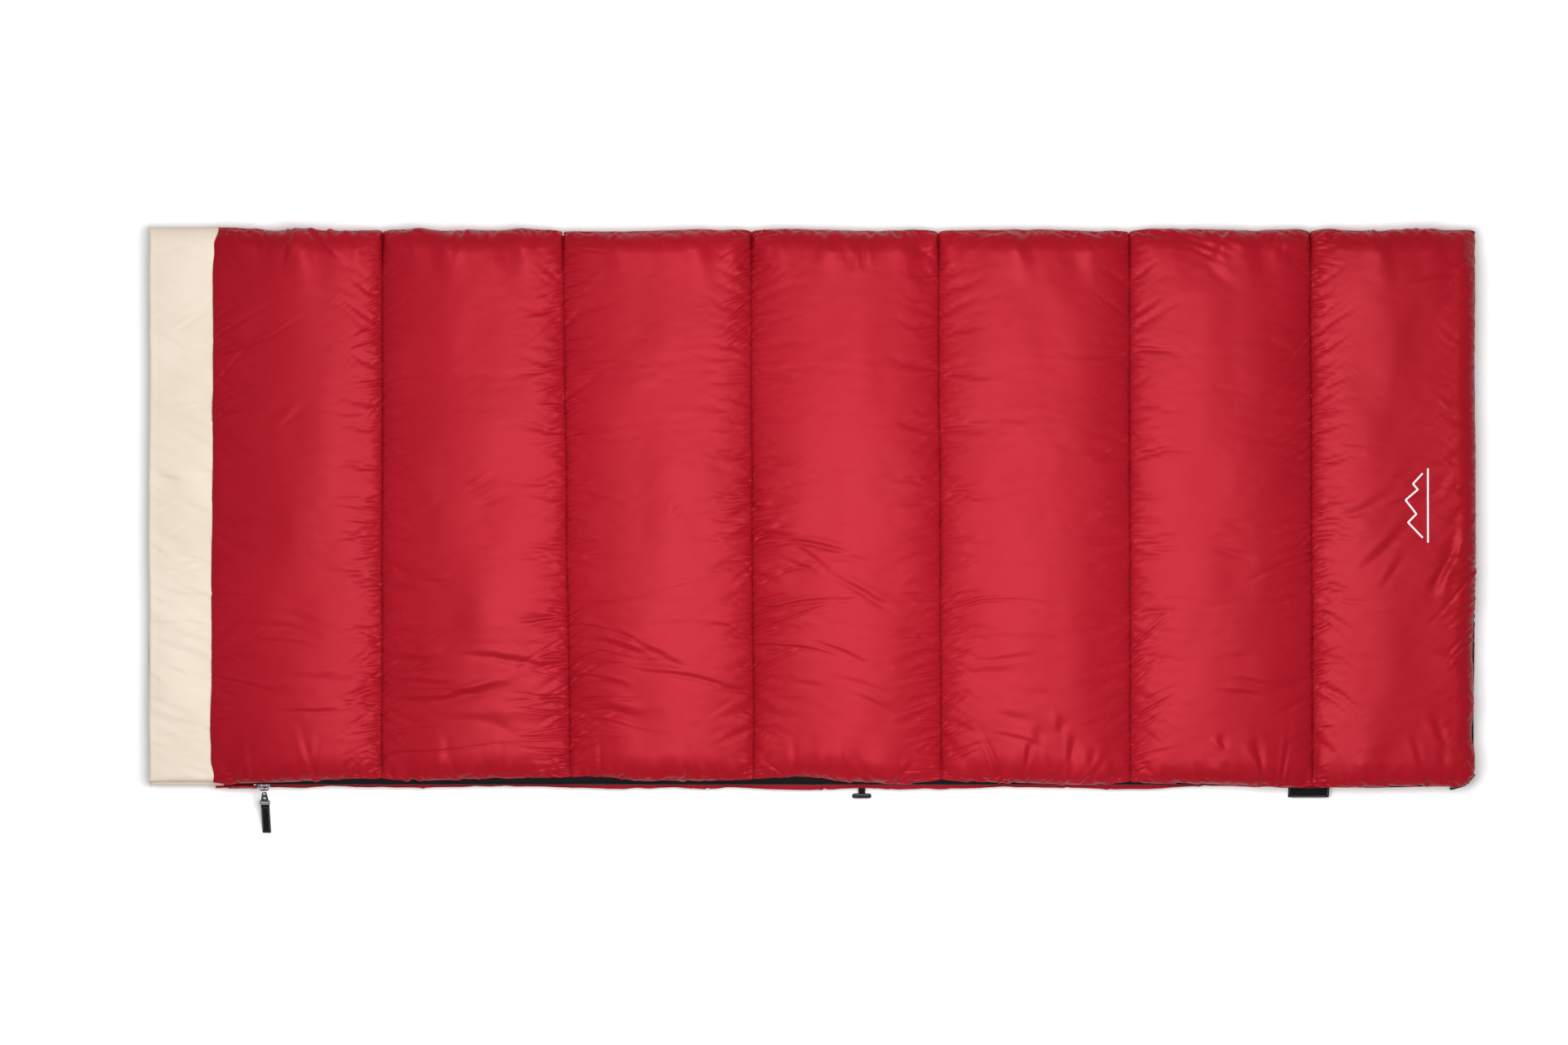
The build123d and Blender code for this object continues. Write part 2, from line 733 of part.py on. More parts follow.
def corner_loop():
    """Elastic loop at the foot corner that holds the bag when it is rolled up."""
    half = loop_width / 2
    seat_radius = zip_corner_radius + seat_gap + loop_wire / 2
    drop = edge_seam_z - ground_clearance - loop_wire / 2
    length = sqrt(drop**2 + loop_overhang**2)
    out = sqrt(seat_radius**2 - half**2)
    turn = radians(loop_angle)
    origin = (corner_x + out * sin(turn), corner_y - out * cos(turn), edge_seam_z)
    plane = sloping_plane(origin, degrees(atan2(drop, loop_overhang)), loop_angle)
    corners = [(-half, 0, 0), (-half, -length, 0), (half, -length, 0), (half, 0, 0)]
    with BuildPart() as loop:
        with BuildLine() as cord:
            FilletPolyline(*[plane.from_local_coords(c) for c in corners], radius=loop_bend)
        with BuildSketch(Plane(cord.line @ 0, x_dir=plane.x_dir, z_dir=cord.line % 0)):
            wire_section(loop_wire)
        sweep()
    return loop.part


# --- The pieces, one file each -------------------------------------------------------------
pieces = {}
hollow = hollow_block(0)
lining_space = hollow_block(cloth_thickness)
for side, is_upper in (("lower", False), ("upper", True)):
    outer_block = quilt_block(is_upper, 0)
    inner_block = quilt_block(is_upper, cloth_thickness)
    pieces[f"{side}_shell"] = outer_shell(is_upper, outer_block, inner_block, lining_space)
    pieces[f"{side}_lining"] = lining(is_upper, outer_block, lining_space, hollow)
    for number, fill in enumerate(fibre_fills(is_upper, inner_block, lining_space), start=1):
        pieces[f"{side}_fill_{number}"] = fill
    pieces[f"{side}_head_band"] = head_band(is_upper)
    pieces[f"{side}_zip_tape"] = zip_tape(is_upper)
    pieces[f"{side}_zip_teeth"] = zip_teeth(is_upper)
    pieces[f"{side}_top_stop"] = top_stop(is_upper)
pieces["retainer_box"] = retainer_box()
pieces["retainer_pin"] = retainer_pin()
pieces["draft_tube"] = draft_tube()
pieces["garage_flap"] = garage_flap()
pieces["slider_body"] = slider_body()
pieces["slider_bail"] = slider_bail()
pieces["pull_ring"] = pull_ring()
pieces["pull_link"] = pull_link()
pieces["pull_clamp"] = pull_clamp()
pieces["pull_tab"] = pull_tab()
pieces["toggle_stem"] = toggle_stem()
pieces["toggle_bar"] = toggle_bar()
pieces["side_label"] = side_label()
pieces["corner_loop"] = corner_loop()

os.makedirs("parts", exist_ok=True)
for name, piece in pieces.items():
    piece.label = name
    export_step(piece, f"parts/{name}.step")
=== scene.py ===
"""Looks of the rectangular sleeping bag: puckered quilts, zip, webbing and a plain studio.

Metres, in the CAD frame. +X runs to the foot end, +Y to the fold and +Z up. The outer cloth is
one grid of points: its columns run along X, and its rows run from the zipped edge of the upper
quilt over the top, round the fold and back under the lower quilt.
"""

import math

import bmesh
import bpy
import numpy as np
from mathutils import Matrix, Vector
from mathutils.bvhtree import BVHTree


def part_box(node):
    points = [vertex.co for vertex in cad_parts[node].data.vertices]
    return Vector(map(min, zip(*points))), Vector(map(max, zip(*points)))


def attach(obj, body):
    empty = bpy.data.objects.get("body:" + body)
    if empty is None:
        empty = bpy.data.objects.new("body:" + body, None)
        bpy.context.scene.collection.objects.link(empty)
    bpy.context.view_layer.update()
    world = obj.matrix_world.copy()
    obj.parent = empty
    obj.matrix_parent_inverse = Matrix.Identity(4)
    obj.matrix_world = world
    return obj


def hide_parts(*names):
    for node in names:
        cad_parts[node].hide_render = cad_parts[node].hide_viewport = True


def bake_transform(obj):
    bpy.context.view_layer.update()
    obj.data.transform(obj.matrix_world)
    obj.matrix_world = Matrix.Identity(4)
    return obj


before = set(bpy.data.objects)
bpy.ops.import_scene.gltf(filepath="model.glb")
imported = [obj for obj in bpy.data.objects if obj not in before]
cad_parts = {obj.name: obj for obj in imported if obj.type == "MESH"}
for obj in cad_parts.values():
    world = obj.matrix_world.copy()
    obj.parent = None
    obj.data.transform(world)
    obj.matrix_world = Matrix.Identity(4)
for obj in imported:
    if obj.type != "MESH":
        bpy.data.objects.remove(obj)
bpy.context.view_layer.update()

# --- Places and sizes read from the frame ---
upper_low, upper_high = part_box("upper_shell")
lower_low, lower_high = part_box("lower_shell")
BAND_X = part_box("lower_head_band")[0].x
HEAD_SEAM_X = upper_low.x
FOOT_X = lower_high.x
ZIP_Y = lower_low.y
FOLD_Y = lower_high.y
CREST = upper_high.z / 2  # from the middle plane to the top of a channel
MIDDLE = CREST
UPPER_SETBACK = FOOT_X - upper_high.x
chain_low, chain_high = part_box("lower_zip_teeth")
CHAIN_DEPTH = 0.0022  # from the chain's centre to its face
CHAIN_X, CHAIN_Y = chain_high.x - CHAIN_DEPTH, chain_low.y + CHAIN_DEPTH
CHAIN_RADIUS = 0.0255  # of the chain's turn round the foot corner
ZIP_END_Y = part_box("lower_zip_tape")[1].y


CHANNELS = 7


def seam_after(channel):
    """X of the quilting seam between a channel and the next one."""
    return (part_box(f"upper_fill_{channel}")[1].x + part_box(f"upper_fill_{channel + 1}")[0].x) / 2


seams = [HEAD_SEAM_X] + [seam_after(channel) for channel in range(1, CHANNELS)] + [FOOT_X]

# --- Sizes of the quilts ---
COLUMN_STEP = 0.0020
FOOT_COLUMNS = 24  # round the foot end
ROW_STEP = 0.0014
LEDGE = 0.013  # height of the quilts' zipped edges over the middle plane
SEAM_HEIGHT = 0.0135  # height of the quilting seams
PUFF_SHARPNESS = 0.68  # lower is steeper at the seams and flatter on top
OVERHANG_WIDTH = 0.010  # breadth of the rounding with which a channel crowds over its seam
OVERHANG = 0.0029
HEAD_OVERHANG = 0.0100  # the same over the head band's seam
# Unevenness of the overhang along a seam: its share, and the lengths of its slow and fine waves.
OVERHANG_WAVES = (0.42, 0.040, 0.013)
HEAD_OVERHANG_WAVES = (0.16, 0.055, 0.026)
SEAM_WANDER = 0.0012  # how far a seam wanders from its straight line
UPPER_EDGE_WAVE, LOWER_EDGE_WAVE = 0.0009, 0.0013
SCALLOP_SLOW, SCALLOP_FINE = 0.0026, 0.0013
ZIP_ROUND = 0.042  # breadth of the rounding along the zip
FOOT_ROUND = 0.030
FOLD_ROUND_CREST = 0.036
FOLD_ROUND_SEAM = 0.024
FOLD_NOTCH = 0.0052  # how far a seam draws the fold in
SLIT_LENGTH = 0.060  # of the deeper notch with which a seam runs over the fold
SLIT_SHARE = 0.68
ZIP_CORNER_RADIUS = 0.027
FOLD_CORNER_RADIUS = 0.010
SPLIT_ANGLE = math.radians(8)  # where the quilts hand over to the piece that bends at the fold
RIPPLE_REACH = 0.10  # breadth of the ripples along the fold and the zip
FOLD_RIPPLE = 0.19
ZIP_RIPPLE = 0.14
SEAM_UNEVENNESS = 0.0022  # rise and fall of the quilting seams along their length
SEAM_PULL = 0.0026  # how far a seam draws the upper quilt's zipped edge in
BOXINESS = 0.78  # of the roundings along the sides: 1 is an ellipse, and lower is squarer
HEM_WIDTH = 0.013
HEM_SHARES = (1.0, 0.5, 0.12)  # of the hem's width, where its lines of points lie
HEM_DROP = 0.0006
FOLD_BULGE = 0.0006
FOOT_MEETING = 0.0016  # height of the foot edges beyond the zip, where the quilts meet
FOOT_PLAIN = 0.1  # length before the foot hem in which nothing draws the edges in
GROUND_SPREAD = 0.010  # height that the ground presses out of the lower quilt's channels
SECTION_LENGTHS = (0.055, 0.72, 0.052)  # of cloth, by the zip, over the top and by the fold
ROUNDING_EXTRA = 0.012  # how much longer the cloth by the zip is than it looks from above

# --- Cloth colours, linear ---
RED = (0.332, 0.0062, 0.0150)
RED_DARK = (0.302, 0.0053, 0.0125)
RED_SHINE = (1.0, 0.13, 0.17)
# Quilting thread: its own dark red, made darker still as painted shade along the seam grooves.
SEAM_SHADE_THREAD = (0.07, 0.003, 0.005)
BEIGE = (0.78, 0.67, 0.56)
BEIGE_DARK = (0.73, 0.62, 0.51)
BLACK_CLOTH = (0.009, 0.008, 0.010)


# --- Small numeric helpers ---
def smooth(t):
    t = np.clip(t, 0, 1)
    return t * t * (3 - 2 * t)


def noise(x, y, size_x, size_y, seed):
    """Smooth noise from -1 to 1, whose bumps are about the given sizes."""
    table = np.random.default_rng(seed).uniform(-1, 1, (128, 128))
    u, v = x / size_x + 40.5, y / size_y + 40.5
    i, j = np.floor(u).astype(int), np.floor(v).astype(int)
    fu, fv = smooth(u - i), smooth(v - j)
    i0, i1, j0, j1 = i % 128, (i + 1) % 128, j % 128, (j + 1) % 128
    low = table[i0, j0] * (1 - fu) + table[i1, j0] * fu
    high = table[i0, j1] * (1 - fu) + table[i1, j1] * fu
    return low * (1 - fv) + high * fv


def noise_along(x, size, seed):
    """Smooth noise that changes in one direction only."""
    return noise(x, 0 * x, size, 1, seed)


def unit(vectors):
    """Vectors brought to length 1, along the last axis."""
    return vectors / np.maximum(np.linalg.norm(vectors, axis=-1, keepdims=True), 1e-9)


def ways_along(line):
    """Way along a line of points up to each of them."""
    return np.concatenate([[0], np.cumsum(np.linalg.norm(np.diff(line, axis=0), axis=1))])


def point_at(way, ways, line):
    """Place on a line of points at a way along it. It also serves for the line's normals."""
    return np.stack([np.interp(way, ways, values) for values in line.T], axis=-1)


def grid_normals(points):
    """Unit normals of a grid of points, facing out of the quilt."""
    return unit(np.cross(np.gradient(points, axis=1), np.gradient(points, axis=0)))


def ring_quads(rings, around):
    """Faces between successive rings of points, as corner numbers."""
    return [(r * around + k, r * around + (k + 1) % around,
             (r + 1) * around + (k + 1) % around, (r + 1) * around + k)
            for r in range(rings - 1) for k in range(around)]


def repeated(quads, points_each, times):
    """Faces of a small mesh that comes many times in one mesh."""
    return (np.arange(times)[:, None, None] * points_each + np.array(quads)).reshape(-1, 4)


def grid_object(name, points, closed_rows=False):
    """Mesh object of quads from a grid of points, smooth shaded."""
    rows, columns = points.shape[:2]
    index = np.arange(rows * columns).reshape(rows, columns)
    if closed_rows:
        index = np.vstack([index, index[:1]])
    a, b = index[:-1, :-1].ravel(), index[:-1, 1:].ravel()
    c, d = index[1:, 1:].ravel(), index[1:, :-1].ravel()
    return mesh_object(name, points.reshape(-1, 3), np.stack([a, b, c, d], axis=1))


def tube_object(name, points):
    """Mesh object of a tube whose rows of points run along it, with both ends filled."""
    made = grid_object(name, points, closed_rows=True)
    rows, columns = points.shape[:2]
    work = bmesh.new()
    work.from_mesh(made.data)
    work.verts.ensure_lookup_table()
    for column in (0, columns - 1):
        ring = [work.verts[row * columns + column] for row in range(rows)]
        work.faces.new(ring if column == 0 else ring[::-1])
    bmesh.ops.recalc_face_normals(work, faces=work.faces)
    work.to_mesh(made.data)
    work.free()
    return made


def mesh_object(name, points, faces):
    """Mesh object from arrays of points and of faces that all have as many corners."""
    mesh = bpy.data.meshes.new(name)
    corners = faces.shape[1]
    mesh.vertices.add(len(points))
    mesh.vertices.foreach_set("co", np.asarray(points, np.float32).ravel())
    mesh.loops.add(faces.size)
    mesh.loops.foreach_set("vertex_index", faces.astype(np.int32).ravel())
    mesh.polygons.add(len(faces))
    mesh.polygons.foreach_set("loop_start", np.arange(0, faces.size, corners, dtype=np.int32))
    mesh.update(calc_edges=True)
    mesh.shade_smooth()
    made = bpy.data.objects.new(name, mesh)
    bpy.context.scene.collection.objects.link(made)
    return made


def dress(made, material, body, slot, *nodes, turn=0):
    """Gives a piece its material and its body, and hides the CAD nodes it stands for. Its slot is
    not used.

    Without a body its transform is baked into its mesh. Turn is not used."""
    made.data.materials.append(material)
    if body:
        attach(made, body)
    else:
        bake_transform(made)
    if nodes:
        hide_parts(*nodes)


# --- Materials ---
def new_material(name):
    """A material, its node tree and its main shader node."""
    material = bpy.data.materials.new(name)
    material.use_nodes = True
    return material, material.node_tree, material.node_tree.nodes["Principled BSDF"]


def set_inputs(tree, node, inputs):
    """Links the inputs that are given as sockets, and sets the others to their values."""
    for name, value in inputs.items():
        if isinstance(value, bpy.types.NodeSocket):
            tree.links.new(value, node.inputs[name])
        else:
            node.inputs[name].default_value = value


def add_node(tree, kind, output, inputs=None, **settings):
    """One output of a new shader node, whose settings and inputs are given."""
    node = tree.nodes.new("ShaderNode" + kind)
    for name, value in settings.items():
        setattr(node, name, value)
    set_inputs(tree, node, inputs or {})
    return node.outputs[output]


def add_ramp(tree, factor, low, high):
    """Colour that runs between two (place, colour) stops with a factor."""
    ramp = tree.nodes.new("ShaderNodeValToRGB")
    for element, (place, colour) in zip(ramp.color_ramp.elements, (low, high)):
        element.position = place
        element.color = (*colour, 1)
    tree.links.new(factor, ramp.inputs["Fac"])
    return ramp.outputs["Color"]


WAVE_PERIOD = 0.314  # of a wave texture whose scale is 1


def cloth_material(name, colour, dark, roughness, sheen, thread=0.0006, patch=6.0,
                   fine_bump=0.25, weave_bump=0.12, shine=(1, 1, 1), gloss_level=0.35):
    """Woven cloth: two sets of threads, slow changes of colour and fine creasing."""
    material, tree, shader = new_material(name)
    place = add_node(tree, "TexCoord", "Object")
    patches = add_node(tree, "TexNoise", "Fac", {"Vector": place, "Scale": patch, "Detail": 5})
    threads = [add_node(tree, "TexWave", "Fac",
                        {"Vector": place, "Scale": WAVE_PERIOD / thread, "Distortion": 0.4},
                        bands_direction=direction) for direction in ("X", "Y")]
    weave = add_node(tree, "Math", "Value", dict(enumerate(threads)), operation="MULTIPLY")
    tint = add_node(tree, "Mix", "Result", {
        "Factor": 0.12, "A": add_ramp(tree, patches, (0.36, dark), (0.62, colour)), "B": weave,
    }, data_type="RGBA", blend_type="MULTIPLY")
    creasing = add_node(tree, "TexNoise", "Fac", {"Vector": place, "Scale": 160, "Detail": 3})
    creases = add_node(tree, "Bump", "Normal", {
        "Strength": fine_bump, "Distance": 0.0008, "Height": creasing})
    surface = add_node(tree, "Bump", "Normal", {
        "Strength": weave_bump, "Distance": 0.0002, "Height": weave, "Normal": creases})
    gloss = add_node(tree, "MapRange", "Result", {
        "Value": patches, "To Min": roughness - 0.05, "To Max": roughness + 0.07})
    set_inputs(tree, shader, {
        "Base Color": tint, "Normal": surface, "Roughness": gloss, "Sheen Weight": sheen,
        "Sheen Roughness": 0.4, "Sheen Tint": (*colour, 1),
        "Specular IOR Level": gloss_level, "Specular Tint": (*shine, 1)})
    return material


def hard_material(name, colour, metallic, roughness, bump=0.05, worn=None):
    """Plastic or metal: a fine grain, and a lighter or darker tone in patches."""
    material, tree, shader = new_material(name)
    place = add_node(tree, "TexCoord", "Object")
    speckle = add_node(tree, "TexNoise", "Fac", {"Vector": place, "Scale": 900, "Detail": 4})
    gloss = add_node(tree, "MapRange", "Result", {
        "Value": speckle, "To Min": max(roughness - 0.06, 0.05), "To Max": roughness + 0.08})
    surface = add_node(tree, "Bump", "Normal", {
        "Strength": bump, "Distance": 0.0002, "Height": speckle})
    set_inputs(tree, shader, {
        "Base Color": add_ramp(tree, speckle, (0.3, worn or colour), (0.6, colour)),
        "Roughness": gloss, "Normal": surface, "Metallic": metallic})
    return material


satin = cloth_material("satin_red", RED, RED_DARK, 0.41, 0.05, fine_bump=0.08, weave_bump=0.06,
                       shine=RED_SHINE, gloss_level=0.46)
# The seam stitches are real thread, but their near-black tone is partly painted shade in the seam
# grooves.
seam_shade_thread = cloth_material("seam_shade_thread", SEAM_SHADE_THREAD, SEAM_SHADE_THREAD, 0.6, 0.1)
thread_beige = cloth_material("thread_beige", (0.55, 0.45, 0.36), (0.50, 0.40, 0.32), 0.6, 0.1)
beige = cloth_material("beige_cloth", BEIGE, BEIGE_DARK, 0.75, 0.2, thread=0.0008, patch=9)
lining_cloth = cloth_material("lining_cloth", BEIGE, BEIGE_DARK, 0.8, 0.2, thread=0.0008)
black_tape = cloth_material("black_tape", BLACK_CLOTH, (0.006, 0.006, 0.007), 0.85, 0.0,
                            thread=0.0009, weave_bump=0.5, gloss_level=0.12)
zip_plastic = hard_material("zip_plastic", (0.014, 0.014, 0.016), 0, 0.42)
toggle_plastic = hard_material("toggle_plastic", (0.012, 0.012, 0.013), 0, 0.36, bump=0.15)
gunmetal = hard_material("gunmetal", (0.17, 0.17, 0.18), 1, 0.30, worn=(0.10, 0.10, 0.11))
bright_metal = hard_material("bright_metal", (0.72, 0.72, 0.73), 1, 0.20,
                             worn=(0.55, 0.55, 0.56))
white_print = cloth_material("white_print", (0.82, 0.80, 0.80), (0.74, 0.72, 0.72), 0.6, 0.0)
pale_thread = cloth_material("pale_thread", (0.36, 0.33, 0.36), (0.30, 0.27, 0.30), 0.7, 0.1)
black_elastic = cloth_material("black_elastic", BLACK_CLOTH, (0.010, 0.010, 0.011), 0.7, 0.2)


# --- The outer cloth before it is creased ---
def rise(distance, breadth):
    """From 0 at a seam to 1 where the channel is fully puffed."""
    t = np.clip(distance / breadth, 0, 1)
    return (1 - (1 - t) ** 2) ** PUFF_SHARPNESS


def column_places():
    """X of each grid column, and the columns on which the quilting seams lie."""
    places, seam_columns = [], [0]
    for number, (start, end) in enumerate(zip(seams, seams[1:])):
        last = number == CHANNELS - 1
        stop = end - FOOT_ROUND if last else end
        count = round((stop - start) / COLUMN_STEP)
        places.extend(start + (stop - start) * np.arange(count) / count)
        if last:
            turns = np.linspace(0, math.pi / 2, FOOT_COLUMNS)
            places.extend(stop + FOOT_ROUND * np.sin(turns))
        seam_columns.append(len(places))
    seam_columns[-1] = len(places) - 1
    return np.array(places), seam_columns


column_x, seam_columns = column_places()


def puff_along():
    """How far each column is puffed, from 0 at the seams to 1."""
    puff = np.zeros(len(column_x))
    for number, (start, end) in enumerate(zip(seams, seams[1:])):
        inside = (column_x >= start) & (column_x <= end + 1e-9)
        half = (end - start) / 2
        up = rise(column_x - start, half) ** (1.15 if number == 0 else 1)
        down = rise(end - column_x, half) if number < CHANNELS - 1 else 1
        puff[inside] = (up * down)[inside]
    return puff


puff_x = puff_along()
foot_turn = np.sqrt(np.clip(1 - np.clip((column_x - FOOT_X) / FOOT_ROUND + 1, 0, 1) ** 2, 0, 1))


def wander(x, knots):
    """Smooth curve through a few chosen (x, value) points, which are in millimetres."""
    places, values = np.array(knots).T / 1000
    at = np.clip(np.searchsorted(places, x) - 1, 0, len(places) - 2)
    t = smooth((x - places[at]) / (places[at + 1] - places[at]))
    return values[at] * (1 - t) + values[at + 1] * t


# The tables are in millimetres. How far the upper quilt's zipped edge lies inside the lower
# one's, at places along the side.
UPPER_EDGE = [
    (-870, 4), (-790, 6), (-740, 9), (-660, 12), (-560, 9), (-450, 11), (-330, 14), (-240, 9),
    (-120, 9), (-10, 14.5), (60, 8.5), (130, 5), (180, 9), (260, 6), (370, 4), (460, 6),
    (560, 4), (660, 0), (800, -1.5), (960, 0.5),
]
# How far the lower quilt's zipped edge bulges out.
LOWER_EDGE = [
    (-870, 1), (-700, -1), (-550, 1), (-400, 0), (-300, 4), (-220, 1), (-130, 2), (-10, 5),
    (50, 1), (150, 3), (280, 1), (450, 3), (600, 0), (750, 2), (960, 0),
]
# How far the upper quilt's foot edge lies inside the lower one's, from the zip to the fold.
UPPER_FOOT = [
    (-410, 1), (-360, 1), (-325, 5.5), (-290, 3), (-250, 5), (-210, 7.5), (-170, 6.5),
    (-130, 3), (-80, 1), (50, 1), (200, 2), (410, 0),
]
# Lean of each seam, as its shift along X at the zip side and at the fold.
SEAM_LEANS = [
    (5, 9), (0, 1), (5, -6), (2, -2), (2, -2), (1, -1), (1, -2), (0, 0),
]


def seam_shift(y):
    """Shift of every column along X at each y: seams lean and wander a little."""
    across = (y - ZIP_Y) / (FOLD_Y - ZIP_Y)
    shifts = np.zeros_like(y)
    for number, (zip_shift, fold_shift) in enumerate(np.array(SEAM_LEANS) / 1000):
        reach = np.interp(column_x, seams, np.eye(len(seams))[number])
        line = zip_shift + (fold_shift - zip_shift) * across
        line = line + SEAM_WANDER * noise_along(y, 0.11, 60 + number)
        shifts += reach * line
    return shifts


def crowd_seams(x, y, edge_y):
    """Moves the channels' flanks towards the seams, so that they crowd over the stitching."""
    inside = smooth((y - edge_y) / 0.035) * smooth((FOLD_Y + 0.004 - y) / 0.03)
    for number, seam in enumerate(seams[:-1]):
        away = (column_x - seam) / OVERHANG_WIDTH
        amount = OVERHANG if number else HEAD_OVERHANG
        depth, slow, fine = OVERHANG_WAVES if number else HEAD_OVERHANG_WAVES
        uneven = 1 + depth * noise_along(y, slow, 40 + number)
        uneven = (uneven + depth / 4 * noise_along(y, fine, 50 + number)) * inside
        both = 1 if number else away >= 0
        x = x - amount * uneven * away * np.exp(1 - np.abs(away)) * both
    return x


def round_corner(x, y, corner_x, corner_y, radius, toward_y):
    """Moves points in a square corner of the plan onto a rounded one."""
    a = np.clip((x - (corner_x - radius)) / radius, 0, 1)
    b = np.clip(((corner_y - y) * toward_y + 0 * x) / radius + 1, 0, 1)
    inside = (a > 0) & (b > 0)
    new_a = a * np.sqrt(1 - b**2 / 2)
    new_b = b * np.sqrt(1 - a**2 / 2)
    x = np.where(inside, corner_x - radius + radius * new_a, x)
    y = np.where(inside, corner_y - toward_y * (radius * (new_b - 1)), y)
    return x, y


def beyond_zip(y):
    """From 0 along the zip to 1 where the foot end runs on to the fold without it."""
    return smooth((y - ZIP_END_Y - 0.003) / 0.018)


def past_band(x):
    """From 0 where the first channel lies over the head band to 1 further on."""
    return smooth((x - HEAD_SEAM_X - 0.018) / 0.05)


def fold_scallop(x):
    """How far the puckered cloth draws the fold in at each x."""
    slow = SCALLOP_SLOW * (1 + noise_along(x, 0.036, 8))
    return (slow + SCALLOP_FINE * (1 + noise_along(x, 0.015, 9))) * past_band(x)


def zipped_edge(is_upper):
    """Y of a quilt's zipped edge in each column."""
    if is_upper:
        edge_y = ZIP_Y + wander(column_x, UPPER_EDGE)
        edge_y = edge_y + UPPER_EDGE_WAVE * noise_along(column_x, 0.016, 6)
        return edge_y + SEAM_PULL * (1 - puff_x) ** 4 * (column_x < FOOT_X - FOOT_PLAIN)
    bulge = LOWER_EDGE_WAVE * (1 + noise_along(column_x, 0.019, 7))
    return ZIP_Y - wander(column_x, LOWER_EDGE) - bulge


def plain_section(edge_y, tall, row_step):
    """Y and height of each point: up from the zip, over the flat top and down to the fold."""
    roll = FOLD_ROUND_SEAM + (FOLD_ROUND_CREST - FOLD_ROUND_SEAM) * puff_x
    notch = FOLD_NOTCH * (1 - puff_x) ** 6 * (column_x < FOOT_X - FOOT_PLAIN)
    roll_y = FOLD_Y - notch * past_band(column_x) - fold_scallop(column_x) - roll
    zip_round = ZIP_ROUND * (0.55 + 0.45 * puff_x)
    zip_round *= 1 + 0.25 * noise_along(column_x, 0.07, 5)
    zip_rows, flat_rows, fold_rows = (round(length / row_step) for length in SECTION_LENGTHS)
    up = np.linspace(0, math.pi / 2, zip_rows, endpoint=False)[:, None]
    share = np.arange(flat_rows)[:, None] / flat_rows
    down = np.linspace(math.pi / 2, SPLIT_ANGLE, fold_rows)[:, None]
    y = np.vstack([edge_y + zip_round * (1 - np.cos(up)),
                   edge_y + zip_round + (roll_y - edge_y - zip_round) * share,
                   roll_y + roll * np.cos(down)])
    height = np.vstack([LEDGE + (tall - LEDGE) * np.sin(up) ** BOXINESS,
                        tall + 0 * share,
                        tall * np.sin(down) ** BOXINESS])
    return y, height


def quilt_grid(is_upper, row_step):
    """Points of one quilt's outer cloth as if for the upper one, from zipped edge to fold."""
    edge_y = zipped_edge(is_upper)
    extra, limit = (0, 1) if is_upper else (GROUND_SPREAD, CREST)
    crest = CREST - SEAM_HEIGHT + extra
    tall = LEDGE + (SEAM_HEIGHT - LEDGE + crest * puff_x) * foot_turn
    y, w = plain_section(edge_y, np.minimum(tall, limit), row_step)
    setback = wander(y, UPPER_FOOT) if is_upper else 0 * y
    x = column_x - smooth((column_x - FOOT_X) / 0.15 + 1) * setback
    x, y = round_corner(x, y, FOOT_X - setback, edge_y, ZIP_CORNER_RADIUS, 1)
    x, y = round_corner(x, y, FOOT_X - setback, FOLD_Y, FOLD_CORNER_RADIUS, -1)
    w = w * (1 - (1 - FOOT_MEETING / LEDGE) * beyond_zip(y) * (1 - foot_turn))
    x = crowd_seams(x, y, edge_y) + seam_shift(y)
    at_fold = smooth((y - FOLD_Y) / SLIT_LENGTH + 1.25)
    w = w * (1 - SLIT_SHARE * at_fold * (1 - puff_x) ** 7 * foot_turn)
    by_fold = smooth(1 - (FOLD_Y - y) / RIPPLE_REACH)
    w = w * (1 + FOLD_RIPPLE * noise_along(x + 0.2 * y, 0.027, 14) * by_fold)
    by_zip = smooth(1 - (y - edge_y) / RIPPLE_REACH) * (w > LEDGE)
    w = w + ZIP_RIPPLE * (w - LEDGE) * noise_along(x - 0.3 * y, 0.038, 15) * by_zip
    inside = smooth((y - edge_y) / 0.03) * (1 - at_fold)
    w = w + SEAM_UNEVENNESS * noise(x, y, 0.3, 0.030, 9) * (1 - puff_x) ** 3 * inside * foot_turn
    return np.stack([x, y, w], axis=2)


# --- Creases ---
def crease(field, row_step, x, s, angle, length, width, depth, bend, rooted=True):
    """Presses one crease into a field of heights: a valley with a low ridge beside it.

    It starts at x and at s, the way along the rows, and runs off at the angle."""
    spread = length + 4 * width
    first = np.searchsorted(column_x, [x - spread, x + spread])
    rows = np.clip([int((s - spread) / row_step), int((s + spread) / row_step)],
                   0, field.shape[0])
    if first[0] >= first[1] or rows[0] >= rows[1]:
        return
    dx = (column_x[first[0]:first[1]] - x)[None, :]
    ds = (np.arange(rows[0], rows[1]) * row_step - s)[:, None]
    along = (dx * math.cos(angle) + ds * math.sin(angle)) / length
    across = -dx * math.sin(angle) + ds * math.cos(angle) - bend * (along * length) ** 2
    t = np.clip(along, 0, 1)
    fade = (1 - t) ** 1.4 * smooth(1 + along * 9) if rooted else np.sin(math.pi * t) ** 1.5
    fade = fade * (along < 1) * ((along > -0.15) if rooted else (along > 0))
    a = across / (width * (0.7 + 0.6 * t))
    shape = -np.exp(-a**2) + 0.7 * np.exp(-((a - 1.6) ** 2) / 1.3)
    field[rows[0]:rows[1], first[0]:first[1]] += depth * fade * shape


def row_place(y):
    """Way along the rows, from the upper zipped edge, of a place on top at this y."""
    return y - ZIP_Y + ROUNDING_EXTRA


